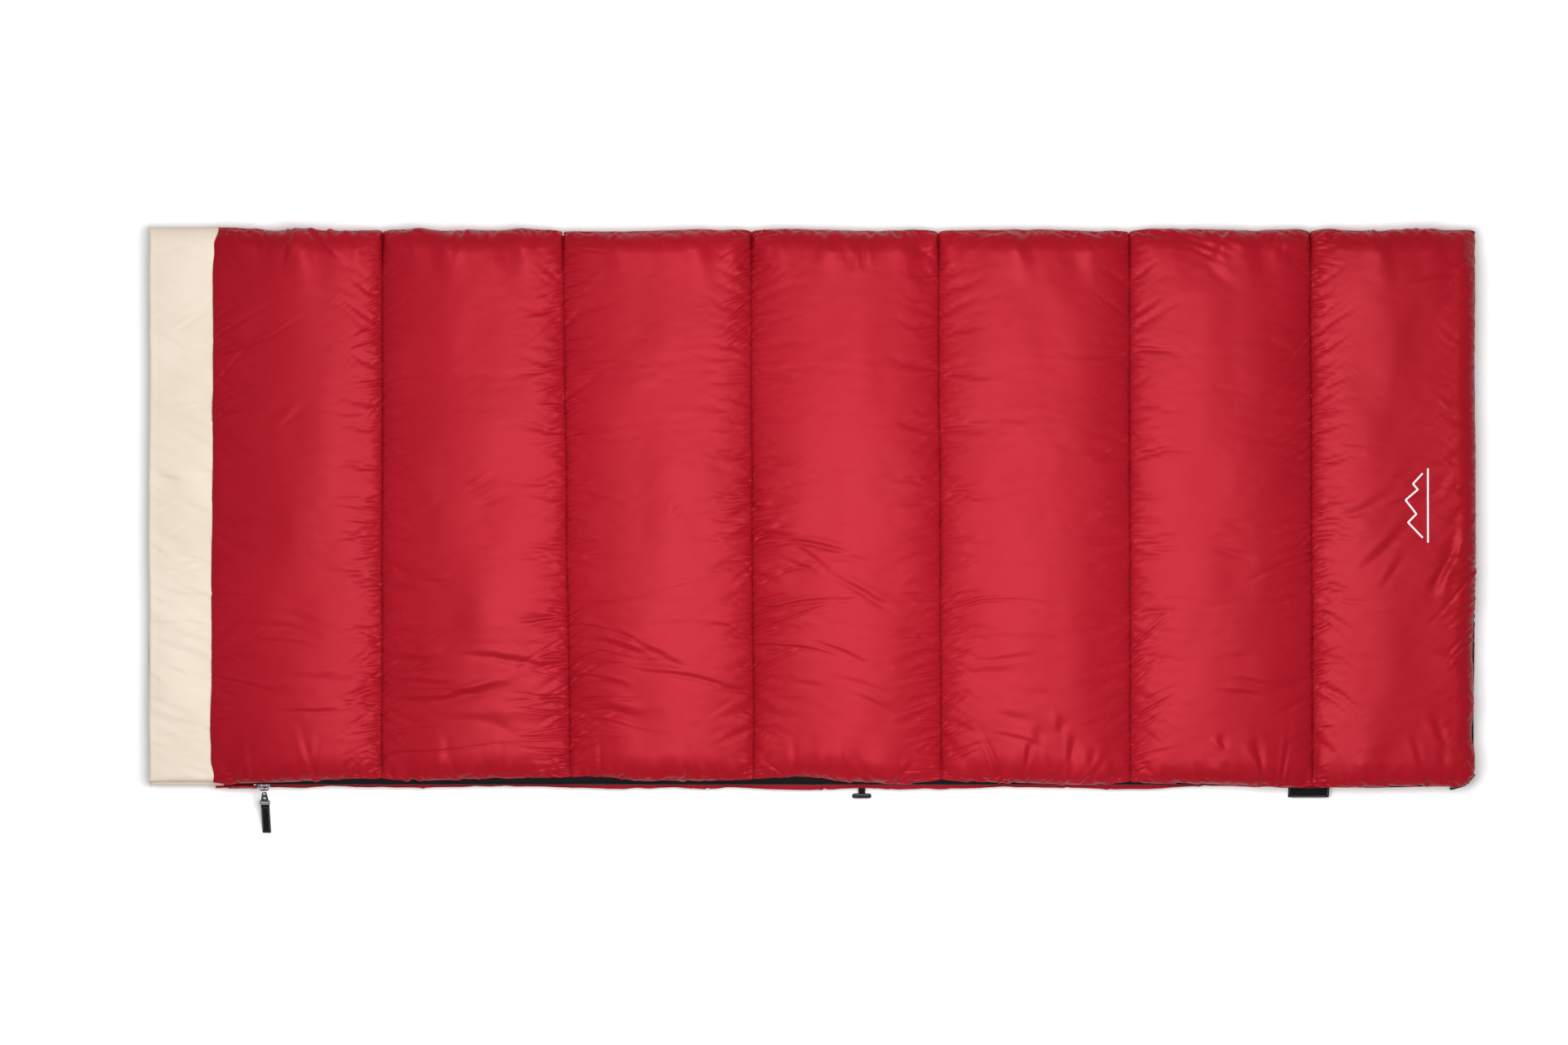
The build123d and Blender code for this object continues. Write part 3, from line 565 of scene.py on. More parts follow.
# Rows of creases that run off the quilting seams: seam, side (-1 towards the head), lean, and
# in millimetres from y, to y, spacing, length and depth.
SEAM_CREASES = [
    (0, 1, 0, -400, 400, 18, 30, 0.8), (0, 1, -0.5, 100, 240, 16, 65, 1.8),
    (0, 1, -0.2, -320, -100, 18, 60, 1.4), (1, -1, 0.1, -400, 360, 7.5, 20, 1.2),
    (1, -1, 0.3, 150, 320, 7, 30, 1.4), (1, -1, 0.1, -130, -20, 11, 45, 1.4),
    (1, -1, 0.35, -380, -180, 11, 55, 1.2), (1, 1, 0, -400, 360, 8.5, 17, 1),
    (1, 1, -0.2, -370, -200, 14, 90, 1.2), (2, -1, 0.25, 100, 360, 6, 30, 1.6),
    (2, -1, 0, -400, 100, 7, 22, 1.3), (2, -1, 0.2, -380, -150, 10, 80, 1.4),
    (2, 1, -0.3, 80, 360, 6, 36, 1.7), (2, 1, -0.1, -400, 80, 6.5, 26, 1.4),
    (2, 1, -0.15, -380, -170, 11, 85, 1.4), (3, -1, 0.4, 220, 380, 7.5, 34, 1.8),
    (3, -1, 0.1, -400, 220, 9, 20, 1.1), (3, -1, 0.2, -100, 30, 9, 40, 1.5),
    (3, 1, -0.4, 220, 380, 7, 28, 1.5), (3, 1, -0.1, -70, 20, 7, 34, 2.2),
    (3, 1, -0.1, -260, -50, 13, 85, 1.3), (3, 1, 0, -400, 220, 8, 18, 1.1),
    (4, -1, 0.1, -400, 380, 7, 16, 1), (4, -1, 0.3, -380, -180, 12, 42, 1.1),
    (4, 1, -0.1, -400, 380, 6.5, 17, 1), (4, 1, -0.2, -380, -140, 11, 50, 1.1),
    (5, -1, 0.1, -400, 380, 8, 13, 0.9), (5, 1, -0.1, -400, 380, 7.5, 15, 1),
    (5, 1, -0.45, -380, -200, 9.5, 50, 1.4), (6, -1, 0.2, -400, 380, 7.5, 18, 1),
    (6, -1, 0.6, 60, 240, 13, 55, 1.2), (6, -1, 0.3, -80, 0, 13, 60, 1.4),
    (6, 1, -0.1, -400, 380, 5.5, 22, 1.2), (7, -1, 0, -400, 380, 8.5, 14, 0.9),
    (7, -1, 0.5, -200, -80, 11, 48, 1.4),
]
# Long soft wrinkles on the channels: angle in degrees, and x, y, length and depth in millimetres.
LONG_WRINKLES = [
    (4, -620, -130, 100, 1.1), (-8, -800, -200, 130, 1.2), (6, -780, -300, 150, 1.2),
    (-6, -580, -240, 170, 1.4), (-3, -600, -280, 200, 1.2), (5, -550, -330, 180, 1.4),
    (20, -500, -20, 70, 1), (-10, -330, -200, 160, 1.4), (-4, -340, -250, 200, 1.3),
    (3, -300, -310, 190, 1.4), (30, -150, -60, 90, 0.8), (-12, -80, -70, 140, 1.4),
    (-16, -60, -100, 170, 1.3), (-8, -50, -200, 140, 1), (-10, 20, -270, 120, 1),
    (4, 200, -240, 120, 1), (-8, 240, -330, 100, 1), (-14, 550, -50, 120, 1.2),
    (-10, 600, -260, 100, 1), (8, 740, -30, 120, 1), (40, 800, -120, 120, 1.2),
    (40, -740, 100, 80, 0.7), (-24, 500, 386, 100, 2.2), (-30, 540, 378, 100, 2.4),
    (-42, 600, 362, 90, 2), (-35, 460, 392, 70, 1.8), (-72, 20, 392, 60, 2.6),
    (-98, 70, 394, 60, 2.8), (-65, 160, 392, 50, 1.8), (-60, -720, 392, 50, 1.6),
    (-112, 945, -30, 120, 1.5), (-120, 935, -80, 100, 1.5), (-150, 925, 30, 80, 1.2),
    (-160, 930, 330, 100, 1.2), (100, 900, -380, 70, 1.6), (70, 470, -375, 60, 1.8),
    (110, 620, -380, 60, 2), (80, 330, -385, 50, 1.6),
]


# Rows of creases that run in from the two long edges: heading in degrees, and in millimetres
# spacing, start along the grid's rows, length and depth.
EDGE_CREASES = [
    (90, 10, 14, 26, 1.5), (90, 26, 10, 60, 2.2), (-90, 12, 812, 30, 1.4), (-90, 26, 826, 60, 2.6),
]


def in_metres(sizes):
    """Sizes that are given in millimetres."""
    return [size / 1000 for size in sizes]


SPACING_SPREAD = (0.4, 1.6)
SEAM_CREASE_WIDTH = (0.0019, 0.0036)
EDGE_CREASE_WIDTH = (0.0032, 0.0070)
WRINKLE_WIDTH = (0.004, 0.008)
WRINKLE_ECHO = 0.014  # between a wrinkle and those that repeat it


def press_creases(field, row_step, seed, share):
    """All creases of one quilt, pressed into a field of heights over the grid."""
    rng = np.random.default_rng(seed)
    for number, side, lean, *sizes in SEAM_CREASES:
        y, last_y, spacing, length, depth = in_metres(sizes)
        while y < last_y:
            y += spacing / share * rng.uniform(*SPACING_SPREAD)
            long = length * rng.lognormal(0, 0.4)
            angle = (math.pi if side < 0 else 0) - side * lean + rng.normal(0, 0.22)
            crease(field, row_step, seams[number] + side * rng.uniform(0.001, 0.006),
                   row_place(y), angle, long, rng.uniform(*SEAM_CREASE_WIDTH),
                   depth * rng.uniform(0.45, 1.6), rng.normal(0, 2.2) / (1 + long / 0.04))
    for degrees, *sizes in LONG_WRINKLES:
        x, y, length, depth = in_metres(sizes)
        for echo in range(rng.integers(2, 5)):
            crease(field, row_step, x + rng.normal(0, 0.03),
                   row_place(y) + echo * WRINKLE_ECHO + rng.normal(0, 0.005),
                   math.radians(degrees) + rng.normal(0, 0.14), length * rng.uniform(0.4, 1.1),
                   rng.uniform(*WRINKLE_WIDTH), depth * rng.uniform(0.4, 1.0),
                   rng.normal(0, 0.8), rooted=False)
    for degrees, *sizes in EDGE_CREASES:
        spacing, start, length, depth = in_metres(sizes)
        x = HEAD_SEAM_X
        while x < FOOT_X:
            x += spacing / share * rng.uniform(*SPACING_SPREAD)
            crease(field, row_step, x, start + rng.uniform(-0.008, 0.008),
                   math.radians(degrees) + rng.normal(0, 0.42), length * rng.lognormal(0, 0.35),
                   rng.uniform(*EDGE_CREASE_WIDTH), depth * rng.uniform(0.4, 1.3),
                   rng.normal(0, 1.5))


SWELL_SLOW, SWELL_MEDIUM, SWELL_FINE = 0.0024, 0.0011, 0.00016  # heights


def swell(x, s, puff):
    """Slow unevenness of the stuffing, and fine rumpling of the cloth over it."""
    slow = SWELL_SLOW * noise(x, s, 0.13, 0.17, 11) + SWELL_MEDIUM * noise(x, s, 0.045, 0.07, 12)
    fine = SWELL_FINE * noise(x, s, 0.018, 0.012, 13)
    return slow * puff + fine * (0.4 + 0.6 * puff)


# The cloth hangs smoothly over the seam of the head band: creases fade out towards it.
head_hold = smooth((column_x - HEAD_SEAM_X - 0.001) / 0.020)


def creased(points, row_step, seed, share=1.0):
    """The grid of a quilt with its unevenness and creases worked in."""
    rows = points.shape[0]
    s = (np.arange(rows) * row_step)[:, None] + 0 * points[:, :, 0]
    field = swell(column_x + 0 * s, s, puff_x[None, :])
    press_creases(field, row_step, seed, share)
    hold = smooth((rows - 1 - np.arange(rows)) / 6)[:, None] * head_hold
    return points + grid_normals(points) * (field * hold)[:, :, None]


# --- Cloth simulation: puckers that the fibre's pressure draws out of the seams ---
SIM_SKIP = 3  # grid columns for each column of the coarse cloth
SIM_FRAMES = 14
SIM_CLOTH = {
    "vertex_group_mass": "pins", "quality": 5, "mass": 0.05, "tension_stiffness": 15,
    "compression_stiffness": 15, "shear_stiffness": 5, "bending_stiffness": 0.05,
    "air_damping": 2, "use_pressure": True, "uniform_pressure_force": 5,
    "shrink_min": -0.013,  # the cloth is cut this much larger than the shape it starts from
}
SIM_WINDOW = 0.040  # folds longer than this are left to the shape of the channels
SIM_GAIN = 0.75
SIM_REACH = 0.085  # from a seam to where its folds have died away
SIM_LEFT = 0.12  # share of the folds that is left on the crests
SIM_CAP = 0.0045


def coarse_places(is_column, count):
    """Grid indices that the coarse cloth keeps: even steps, with every seam among them."""
    if is_column:
        picks = [0]
        for start, end in zip(seam_columns, seam_columns[1:]):
            steps = max(round((end - start) / SIM_SKIP), 1)
            picks.extend(np.round(np.linspace(start, end, steps + 1)[1:]).astype(int))
        return np.array(picks)
    skip = round(SIM_SKIP * COLUMN_STEP / ROW_STEP)
    return np.unique(np.append(np.arange(0, count, skip), count - 1))


def spread(field, picks, axis):
    """Cubic interpolation of the coarse field onto every grid index of one axis."""
    at = np.interp(np.arange(picks[-1] + 1), picks, np.arange(len(picks)))
    whole = np.clip(np.floor(at).astype(int), 0, len(picks) - 2)
    t = (at - whole).reshape([-1 if k == axis else 1 for k in range(field.ndim)])
    p, q, r, s = (np.take(field, np.clip(whole + k, 0, len(picks) - 1), axis=axis)
                  for k in (-1, 0, 1, 2))
    return q + t / 2 * (r - p + t * (2 * p - 5 * q + 4 * r - s + t * (3 * (q - r) + s - p)))


def running_mean(field, reach):
    """Mean over the rows within reach, twice over."""
    for _ in range(2):
        padded_field = np.pad(field, [(reach + 1, reach), (0, 0), (0, 0)], mode="edge")
        total = np.cumsum(padded_field, axis=0)
        field = (total[2 * reach + 1:] - total[:-2 * reach - 1]) / (2 * reach + 1)
    return field


def settle(cloth):
    """Runs the cloth simulation and returns the places of the cloth's points after it."""
    modifier = cloth.modifiers.new("settle", "CLOTH")
    for name, value in SIM_CLOTH.items():
        setattr(modifier.settings, name, value)
    modifier.settings.effector_weights.gravity = 0
    modifier.collision_settings.use_collision = False
    for step in range(1, SIM_FRAMES + 1):
        bpy.context.scene.frame_set(step)
    settled = cloth.evaluated_get(bpy.context.evaluated_depsgraph_get()).to_mesh()
    places = np.empty(3 * len(settled.vertices), np.float32)
    settled.vertices.foreach_get("co", places)
    bpy.context.scene.frame_set(1)
    return places


def settled_folds(points):
    """Shift of each grid point by the folds of cloth that is pinned along its seams."""
    columns = coarse_places(True, points.shape[1])
    rows = coarse_places(False, points.shape[0])
    start = placed(points[rows][:, columns], True)
    cloth = grid_object("coarse_cloth", start)
    held = np.isin(columns, seam_columns)[None, :] | np.isin(rows, rows[[0, -1]])[:, None]
    pins = cloth.vertex_groups.new(name="pins")
    pins.add(np.flatnonzero(held.ravel()).tolist(), 1.0, "REPLACE")
    shift = settle(cloth).reshape(start.shape) - start
    mesh = cloth.data
    bpy.data.objects.remove(cloth)
    bpy.data.meshes.remove(mesh)
    row_length = (FOLD_Y - ZIP_Y) / len(rows)
    shift = SIM_GAIN * (shift - running_mean(shift, round(SIM_WINDOW / row_length / 2)))
    size = np.linalg.norm(shift, axis=2, keepdims=True)
    shift *= SIM_CAP * np.tanh(size / SIM_CAP) / np.maximum(size, 1e-9)
    to_seam = np.min(np.abs(column_x[:, None] - np.array(seams)[None, :]), axis=1)
    share = head_hold * (SIM_LEFT + (1 - SIM_LEFT) * (1 - smooth(to_seam / SIM_REACH)))
    return spread(spread(shift, columns, 1), rows, 0) * share[None, :, None]


# --- Build the outer cloth ---
def placed(points, is_upper):
    """Heights over the middle plane turned into places in the frame."""
    out = points.copy()
    out[:, :, 2] = MIDDLE + (points[:, :, 2] if is_upper else -points[:, :, 2])
    return out


def hem(edge, inward, shares):
    """Lines of points that turn the cloth under along an edge."""
    lines = []
    for share in shares:
        line = edge.copy()
        line[:, :2] += inward * HEM_WIDTH * share
        line[:, 2] = edge[:, 2] - HEM_DROP
        lines.append(line)
    return lines


def with_hem(points):
    """A grid with the rows that turn the cloth under along the zipped edge."""
    tangent = unit(np.gradient(points[0, :, :2], axis=0))
    inward = np.stack([-tangent[:, 1], tangent[:, 0]], axis=1)
    return np.vstack([hem(points[0], inward, HEM_SHARES), points])


def foot_hem(points):
    """Columns that turn the cloth under along the foot edge, over the hem's rows too."""
    columns = np.stack(hem(points[:, -1], np.array([-1, 0]), HEM_SHARES[::-1]), axis=1)
    return np.vstack([columns[:1].repeat(len(HEM_SHARES), axis=0), columns])


def bridge(top, bottom, shares, bulges):
    """Rows that lead from one line of points to another and bulge outwards."""
    rows = [top * (1 - share) + bottom * share for share in shares]
    for row, bulge in zip(rows, bulges):
        row[:, 1] += bulge
    return np.stack(rows)


upper = quilt_grid(True, ROW_STEP)
upper += settled_folds(upper)
upper = creased(upper, ROW_STEP, 21)
LOWER_ROW_STEP = 2 * ROW_STEP
lower = creased(quilt_grid(False, LOWER_ROW_STEP), LOWER_ROW_STEP, 22, share=0.6)
lower[:, :, 2] = np.minimum(lower[:, :, 2], MIDDLE)


for number in range(CHANNELS):
    columns = slice(seam_columns[number], seam_columns[number + 1] + 1)
    for side, body, cloth in (("upper", "cover", upper), ("lower", "base", lower)):
        part = with_hem(cloth[:, columns])
        if number == CHANNELS - 1:
            part = np.hstack([part, foot_hem(cloth)])
        channel = grid_object(f"{side}_channel_{number + 1}", placed(part, side == "upper"))
        if side == "lower":
            channel.data.flip_normals()
        dress(channel, satin, body, "shell_cloth", f"{side}_fill_{number + 1}", f"{side}_shell")

# The strip round the fold, between the last rows of the two quilts.
shares = np.linspace(0, 1, 11)
fold_rows = bridge(upper[-1], lower[-1] * (1, 1, -1), shares,
                   FOLD_BULGE * np.sin(math.pi * shares))
fold_rows[:, :, 2] += MIDDLE
dress(grid_object("fold_edge", fold_rows), satin, None, "shell_cloth", turn=0.002)


# --- Stitching along the seams ---
# Rings of points round a stitch: way along it, and height of its middle.
STITCH_RINGS = ((0, -0.6), (0.12, 0.35), (0.5, 1), (0.88, 0.35), (1, -0.6))
STITCH_SIDES = 6


def stitches(name, lines, thickness, lift, length=0.0026, gap=0.0012):
    """Short rounded threads along lines of points, each with its outward normal."""
    points = []
    angles = np.arange(STITCH_SIDES) * 2 * math.pi / STITCH_SIDES
    for line, normals in lines:
        ways = ways_along(line)
        for start in np.arange(0.002, ways[-1] - length, length + gap):
            ends = [point_at(start + length * way, ways, line) for way, _ in STITCH_RINGS]
            normal = point_at(start, ways, normals)
            side = np.cross((ends[-1] - ends[0]) / length, normal)
            for end, (_, height) in zip(ends, STITCH_RINGS):
                for angle in angles:
                    out = lift + thickness * (height - 1 + math.sin(angle) * 0.9)
                    points.append(end + normal * out + side * thickness * math.cos(angle))
    each = STITCH_SIDES * len(STITCH_RINGS)
    faces = repeated(ring_quads(len(STITCH_RINGS), STITCH_SIDES), each, len(points) // each)
    return mesh_object(name, np.array(points), faces)


upper_placed = placed(upper, True)
upper_normals = grid_normals(upper_placed)
seam_lines = [(upper_placed[3:, c], upper_normals[3:, c]) for c in seam_columns[1:-1]]
# Stitches in thread darkened as painted shade along the seams.
dress(stitches("upper_stitches", seam_lines, thickness=0.00055, lift=0.0008),
      seam_shade_thread, "cover", "shell_cloth")


# --- Lining ---
LINING_STEPS = 41  # columns in each channel
LINING_ROWS = 170
LINING_CREST = 0.0016  # from the middle plane to the lining, where it is fullest
LINING_SEAM = 0.0085
LINING_LEDGE = LEDGE - 0.0016
LINING_INSET = 0.007  # from the quilt's edges
LINING_GATHER = 0.11  # from a seam to where the lining lies full
LINING_CREASES, LINING_FOLDS, LINING_SWELL = 0.0034, 0.0022, 0.0018  # heights
TURN_INSET = 0.0030  # from the fold to the lining's turn
TURN_EASE = 0.11
LEDGE_WIDTH = 0.034
LEDGE_SLOPE = 0.026


def lining_columns(end):
    """X of the lining's columns, which lie closer beside the seams."""
    share = np.arange(LINING_STEPS) / LINING_STEPS
    share = share - 0.11 * np.sin(2 * math.pi * share)
    stops = [HEAD_SEAM_X - 0.004] + seams[1:-1] + [end]
    places = [start + (stop - start) * share for start, stop in zip(stops, stops[1:])]
    return np.append(np.concatenate(places), end)


def lining_rows(is_upper):
    """Grid of the lining of one quilt, from its zipped edge to the fold."""
    setback = UPPER_SETBACK if is_upper else 0
    end = FOOT_X - setback - LINING_INSET
    edge = ZIP_Y + setback + LINING_INSET
    x = lining_columns(end)
    to_seam = np.min(np.abs(x[:, None] - np.array(seams[1:-1])[None, :]), axis=1)
    gather = 1 - rise(to_seam, LINING_GATHER)
    turn_y = FOLD_Y - TURN_INSET - FOLD_NOTCH * np.clip(1 - to_seam / 0.02, 0, 1) ** 2
    turn_y = turn_y - fold_scallop(x)
    share = np.linspace(0, 1, LINING_ROWS)[:, None]
    y = edge + (turn_y - edge) * share
    x = x + 0 * y
    before_turn = smooth((turn_y - y) / TURN_EASE)
    seed = 31 + 5 * is_upper
    lean = y + 0.25 * x
    creases = LINING_CREASES * np.abs(noise(x, lean, 0.07, 0.015, seed)) ** 1.5
    rumple = creases * np.sqrt(gather)
    rumple = rumple + LINING_FOLDS * np.abs(noise(x, y - 0.4 * x, 0.05, 0.028, seed + 1)) ** 2
    rumple = rumple + LINING_SWELL * (1 + noise(x, y, 0.09, 0.06, seed + 2)) * (1 - gather)
    w = LINING_CREST + ((LINING_SEAM - LINING_CREST) * gather + rumple) * before_turn
    by_zip = 1 - smooth((y - edge - LEDGE_WIDTH) / LEDGE_SLOPE)
    by_foot = (1 - smooth((end - x - LEDGE_WIDTH) / LEDGE_SLOPE)) * (1 - beyond_zip(y))
    ledge = np.maximum(by_zip, by_foot)
    w = w * (1 - ledge) + LINING_LEDGE * ledge
    x, y = round_corner(x, y, end, edge, ZIP_CORNER_RADIUS - LINING_INSET, 1)
    return np.stack([x, y, w], axis=2)


lining_top = placed(lining_rows(True), True)
lining_bottom = placed(lining_rows(False), False)
angles = np.linspace(math.pi / 2, -math.pi / 2, 9)[1:-1]
half_gap = np.abs(lining_top[-1, :, 2] - lining_bottom[-1, :, 2]) / 2
lining_turn = bridge(lining_top[-1], lining_bottom[-1], (1 - np.sin(angles)) / 2,
                     half_gap * np.cos(angles)[:, None])
lining = grid_object("lining", np.vstack([lining_top, lining_turn, lining_bottom[::-1]]))
dress(lining, lining_cloth, None, "lining_cloth", "upper_lining", "lower_lining", turn=0.0012)

# The quilting stitches where they come through the lining.
for side, body, grid, facing in (("upper", "cover", lining_top, -1),
                                 ("lower", "base", lining_bottom, 1)):
    normals = grid_normals(grid) * facing
    lines = [(grid[3:-3, column], normals[3:-3, column])
             for column in range(LINING_STEPS, CHANNELS * LINING_STEPS, LINING_STEPS)]
    dress(stitches(f"{side}_lining_stitches", lines, thickness=0.0005, lift=0.0004),
          thread_beige, body, "lining_cloth")


# --- Head band ---
BAND_TOP = 0.0142  # height of the band over the middle plane, beside the red quilt
BAND_FALL = 0.0052  # from there to the head edge
BAND_PUFF = 0.0012
BAND_NOSE = 0.0055
BAND_UNDER = 0.017  # how far the band runs on under the first channel
BAND_INNER = LINING_CREST - 0.0003
BAND_ROLL = 0.034
BAND_END = 0.010  # length over which an end of the band is rounded
BAND_CREASES = 70  # on each half
BAND_CREASE_LENGTH, BAND_CREASE_WIDTH = 0.030, 0.0032
BAND_RIPPLE, BAND_DENT, BAND_SWELL, BAND_CREASE = 0.0010, 0.0016, 0.0014, 0.0012  # heights


def band_section(y):
    """Points (x, w) round the band's section, from its seam over the head edge and back."""
    head = BAND_X + 0.0012 * (1 + noise_along(y, 0.12, 71))
    seam_x = HEAD_SEAM_X + BAND_UNDER
    top = []
    for share in np.linspace(0, 1, 46):
        x = seam_x + (head + BAND_NOSE - seam_x) * share
        puff = math.sin(math.pi * min(share * 1.08, 1)) ** 0.5
        top.append((x, BAND_TOP - BAND_FALL * share**2 + BAND_PUFF * puff))
    middle_w = (top[-1][1] + BAND_INNER) / 2
    points = list(top)
    for angle in np.linspace(math.pi / 2, -math.pi / 2, 13)[1:-1]:
        points.append((head + BAND_NOSE * (1 - math.cos(angle)),
                       middle_w + (top[-1][1] - middle_w) * math.sin(angle)))
    points.extend((x, BAND_INNER) for x, _ in top[::-3])
    return points


def band_stations(step):
    """Stations along the band: y of its outer face, y of its inner face, and its turn."""
    start = ZIP_Y + UPPER_SETBACK - 0.001
    stations = [(y, y, 1.0) for y in np.arange(start, FOLD_Y - BAND_ROLL, step)]
    for angle in np.arange(math.pi / 2, -math.pi / 2, -step / BAND_ROLL * 1.6):
        outer = FOLD_Y - BAND_ROLL + BAND_ROLL * math.cos(angle)
        inner = FOLD_Y - max(BAND_ROLL * (1 - math.cos(angle)), TURN_INSET + 0.0012)
        stations.append((outer, inner, math.sin(angle)))
    lower = np.arange(FOLD_Y - BAND_ROLL, ZIP_Y + 0.0005, -step)
    return stations + [(y, y, -1.0) for y in lower]


def fold_lines(x, y, low, high, seed):
    """Heights of short creases at random places, each a valley beside a ridge."""
    rng = np.random.default_rng(seed)
    field = 0 * x
    for _ in range(BAND_CREASES):
        u, v = rng.uniform(low, high)
        angle = rng.normal(0, 0.30)
        long = BAND_CREASE_LENGTH * rng.lognormal(0, 0.4)
        wide = BAND_CREASE_WIDTH * rng.uniform(0.7, 1.7)
        along = ((x - u) * math.cos(angle) + (y - v) * math.sin(angle)) / long
        across = (y - v) * math.cos(angle) - (x - u) * math.sin(angle)
        across = (across + rng.normal(0, 3) * (along * long) ** 2) / wide
        fade = np.clip(1 - along**2, 0, 1) ** 2 * rng.uniform(0.25, 1)
        field += fade * (0.8 * np.exp(-((across - 1.5) ** 2)) - np.exp(-(across**2)))
    return field


BAND_STEP = 0.0022  # between stations along the band
BAND_OUTER_POINTS = 52  # points of a section that lie on the outer face


def head_band():
    """Both halves of the facing in one piece, which is folded along the closed side."""
    outer_y, inner_y, turn = np.array(band_stations(BAND_STEP)).T
    count = len(turn)
    sections = np.array([band_section(y) for y in outer_y + 0.9 * (turn < 0)])
    x, w = sections[:, :, 0].T, sections[:, :, 1].T
    to_end = np.minimum(np.arange(count), np.arange(count)[::-1]) * BAND_STEP / BAND_END
    swollen = np.maximum(np.sqrt(1 - (1 - np.clip(to_end, 0, 1)) ** 2), 0.05)
    middle_w = (BAND_TOP + BAND_INNER) / 2
    w = middle_w + (w - middle_w) * swollen
    outer = (np.arange(len(x)) < BAND_OUTER_POINTS)[:, None]
    y = np.where(outer, outer_y, inner_y)
    lean = y + 0.35 * x + (turn < 0)
    folds = BAND_RIPPLE * noise(x, lean, 0.045, 0.011, 72)
    folds = folds - BAND_DENT * np.abs(noise(x, lean, 0.06, 0.034, 74)) ** 3
    folds = folds + BAND_SWELL * noise(x * 0.8 + y, y, 0.035, 0.045, 73)
    for shift, seed in ((0, 75), (1, 76)):
        low, high = (BAND_X, ZIP_Y + shift), (HEAD_SEAM_X + 0.02, FOLD_Y + shift)
        folds = folds + BAND_CREASE * fold_lines(x, y + (turn < 0), low, high, seed)
    w = w + np.where(outer, folds * swollen, 0)
    x = x + np.where(outer, 0.4 * folds * (x < BAND_X + 0.004), 0)
    return tube_object("head_band", np.stack([x, y, MIDDLE + w * turn], axis=2))


band = head_band()
dress(band, beige, None, "head_band", "upper_head_band", "lower_head_band", turn=0.0011)


# --- Zip ---
COIL_PITCH = 0.0022
TOOTH_WIDE, TOOTH_NARROW = 0.0016, 0.0010
TOOTH_DEEP = 0.0040
TOOTH_SIDES = 8
# Rings of points round a tooth: height over the chain's centre line, width, share of the depth.
TOOTH_RINGS = ((0.0044, TOOTH_WIDE, 0.7), (0.003, TOOTH_WIDE, 1), (0, TOOTH_NARROW, 1),
               (-0.0008, TOOTH_NARROW, 1), (-0.0013, TOOTH_NARROW, 0.55))
TAPE_THICKNESS = 0.0009
TAPE_STEP = 0.004
TAPE_WAVE = 0.0006
TAPE_UNDER = 0.0011  # how far the upper tape's turn lies under the upper quilt's edge
SLIDER_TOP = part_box("slider_body")[1].z - MIDDLE + 0.0006  # the tapes lean in above this


def chain_path(start_x, end_y, step):
    """Places along the zip, from the head end round the foot corner, with the turn at each and
    the directions along the zip and out of the bag."""
    corner_x, corner_y = CHAIN_X - CHAIN_RADIUS, CHAIN_Y + CHAIN_RADIUS
    straight = corner_x - start_x
    arc = CHAIN_RADIUS * math.pi / 2
    s = np.arange(0, straight + arc + end_y - corner_y, step)
    turn = np.clip((s - straight) / CHAIN_RADIUS, 0, math.pi / 2)
    x = start_x + np.minimum(s, straight) + CHAIN_RADIUS * np.sin(turn)
    y = CHAIN_Y + CHAIN_RADIUS * (1 - np.cos(turn)) + np.maximum(s - straight - arc, 0)
    along = np.stack([np.cos(turn), np.sin(turn)], axis=1)
    out = np.stack([np.sin(turn), -np.cos(turn)], axis=1)
    return np.stack([x, y], axis=1), turn, along, out


def teeth(name, side):
    """Coil elements of one side of the zip, side 1 for the upper one and -1 for the lower."""
    low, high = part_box(name)
    start_x = low.x + COIL_PITCH * (0.25 + 0.25 * side)
    centre, _, along, out = chain_path(start_x, high.y, COIL_PITCH)
    points = []
    for height, wide, deep in TOOTH_RINGS:
        for angle in (np.arange(TOOTH_SIDES) + 0.5) * 2 * math.pi / TOOTH_SIDES:
            a = wide / 2 * math.cos(angle) * 1.08
            b = TOOTH_DEEP / 2 * deep * math.sin(angle) * 1.08
            place = centre + along * a + out * b
            points.append(np.column_stack([place, np.full(len(place), MIDDLE + side * height)]))
    root = [(0, 3, 2, 1), (0, 7, 4, 3), (4, 7, 6, 5)]
    tip = (len(TOOTH_RINGS) - 1) * TOOTH_SIDES
    quads = ring_quads(len(TOOTH_RINGS), TOOTH_SIDES) + root
    quads += [(tip + a, tip + d, tip + c, tip + b) for a, b, c, d in root]
    faces = repeated(quads, len(points), len(centre))[:, ::-side]
    made = mesh_object("coil_" + name, np.stack(points, axis=1).reshape(-1, 3), faces)
    dress(made, zip_plastic, "cover" if side > 0 else "base", "zip_teeth", name)


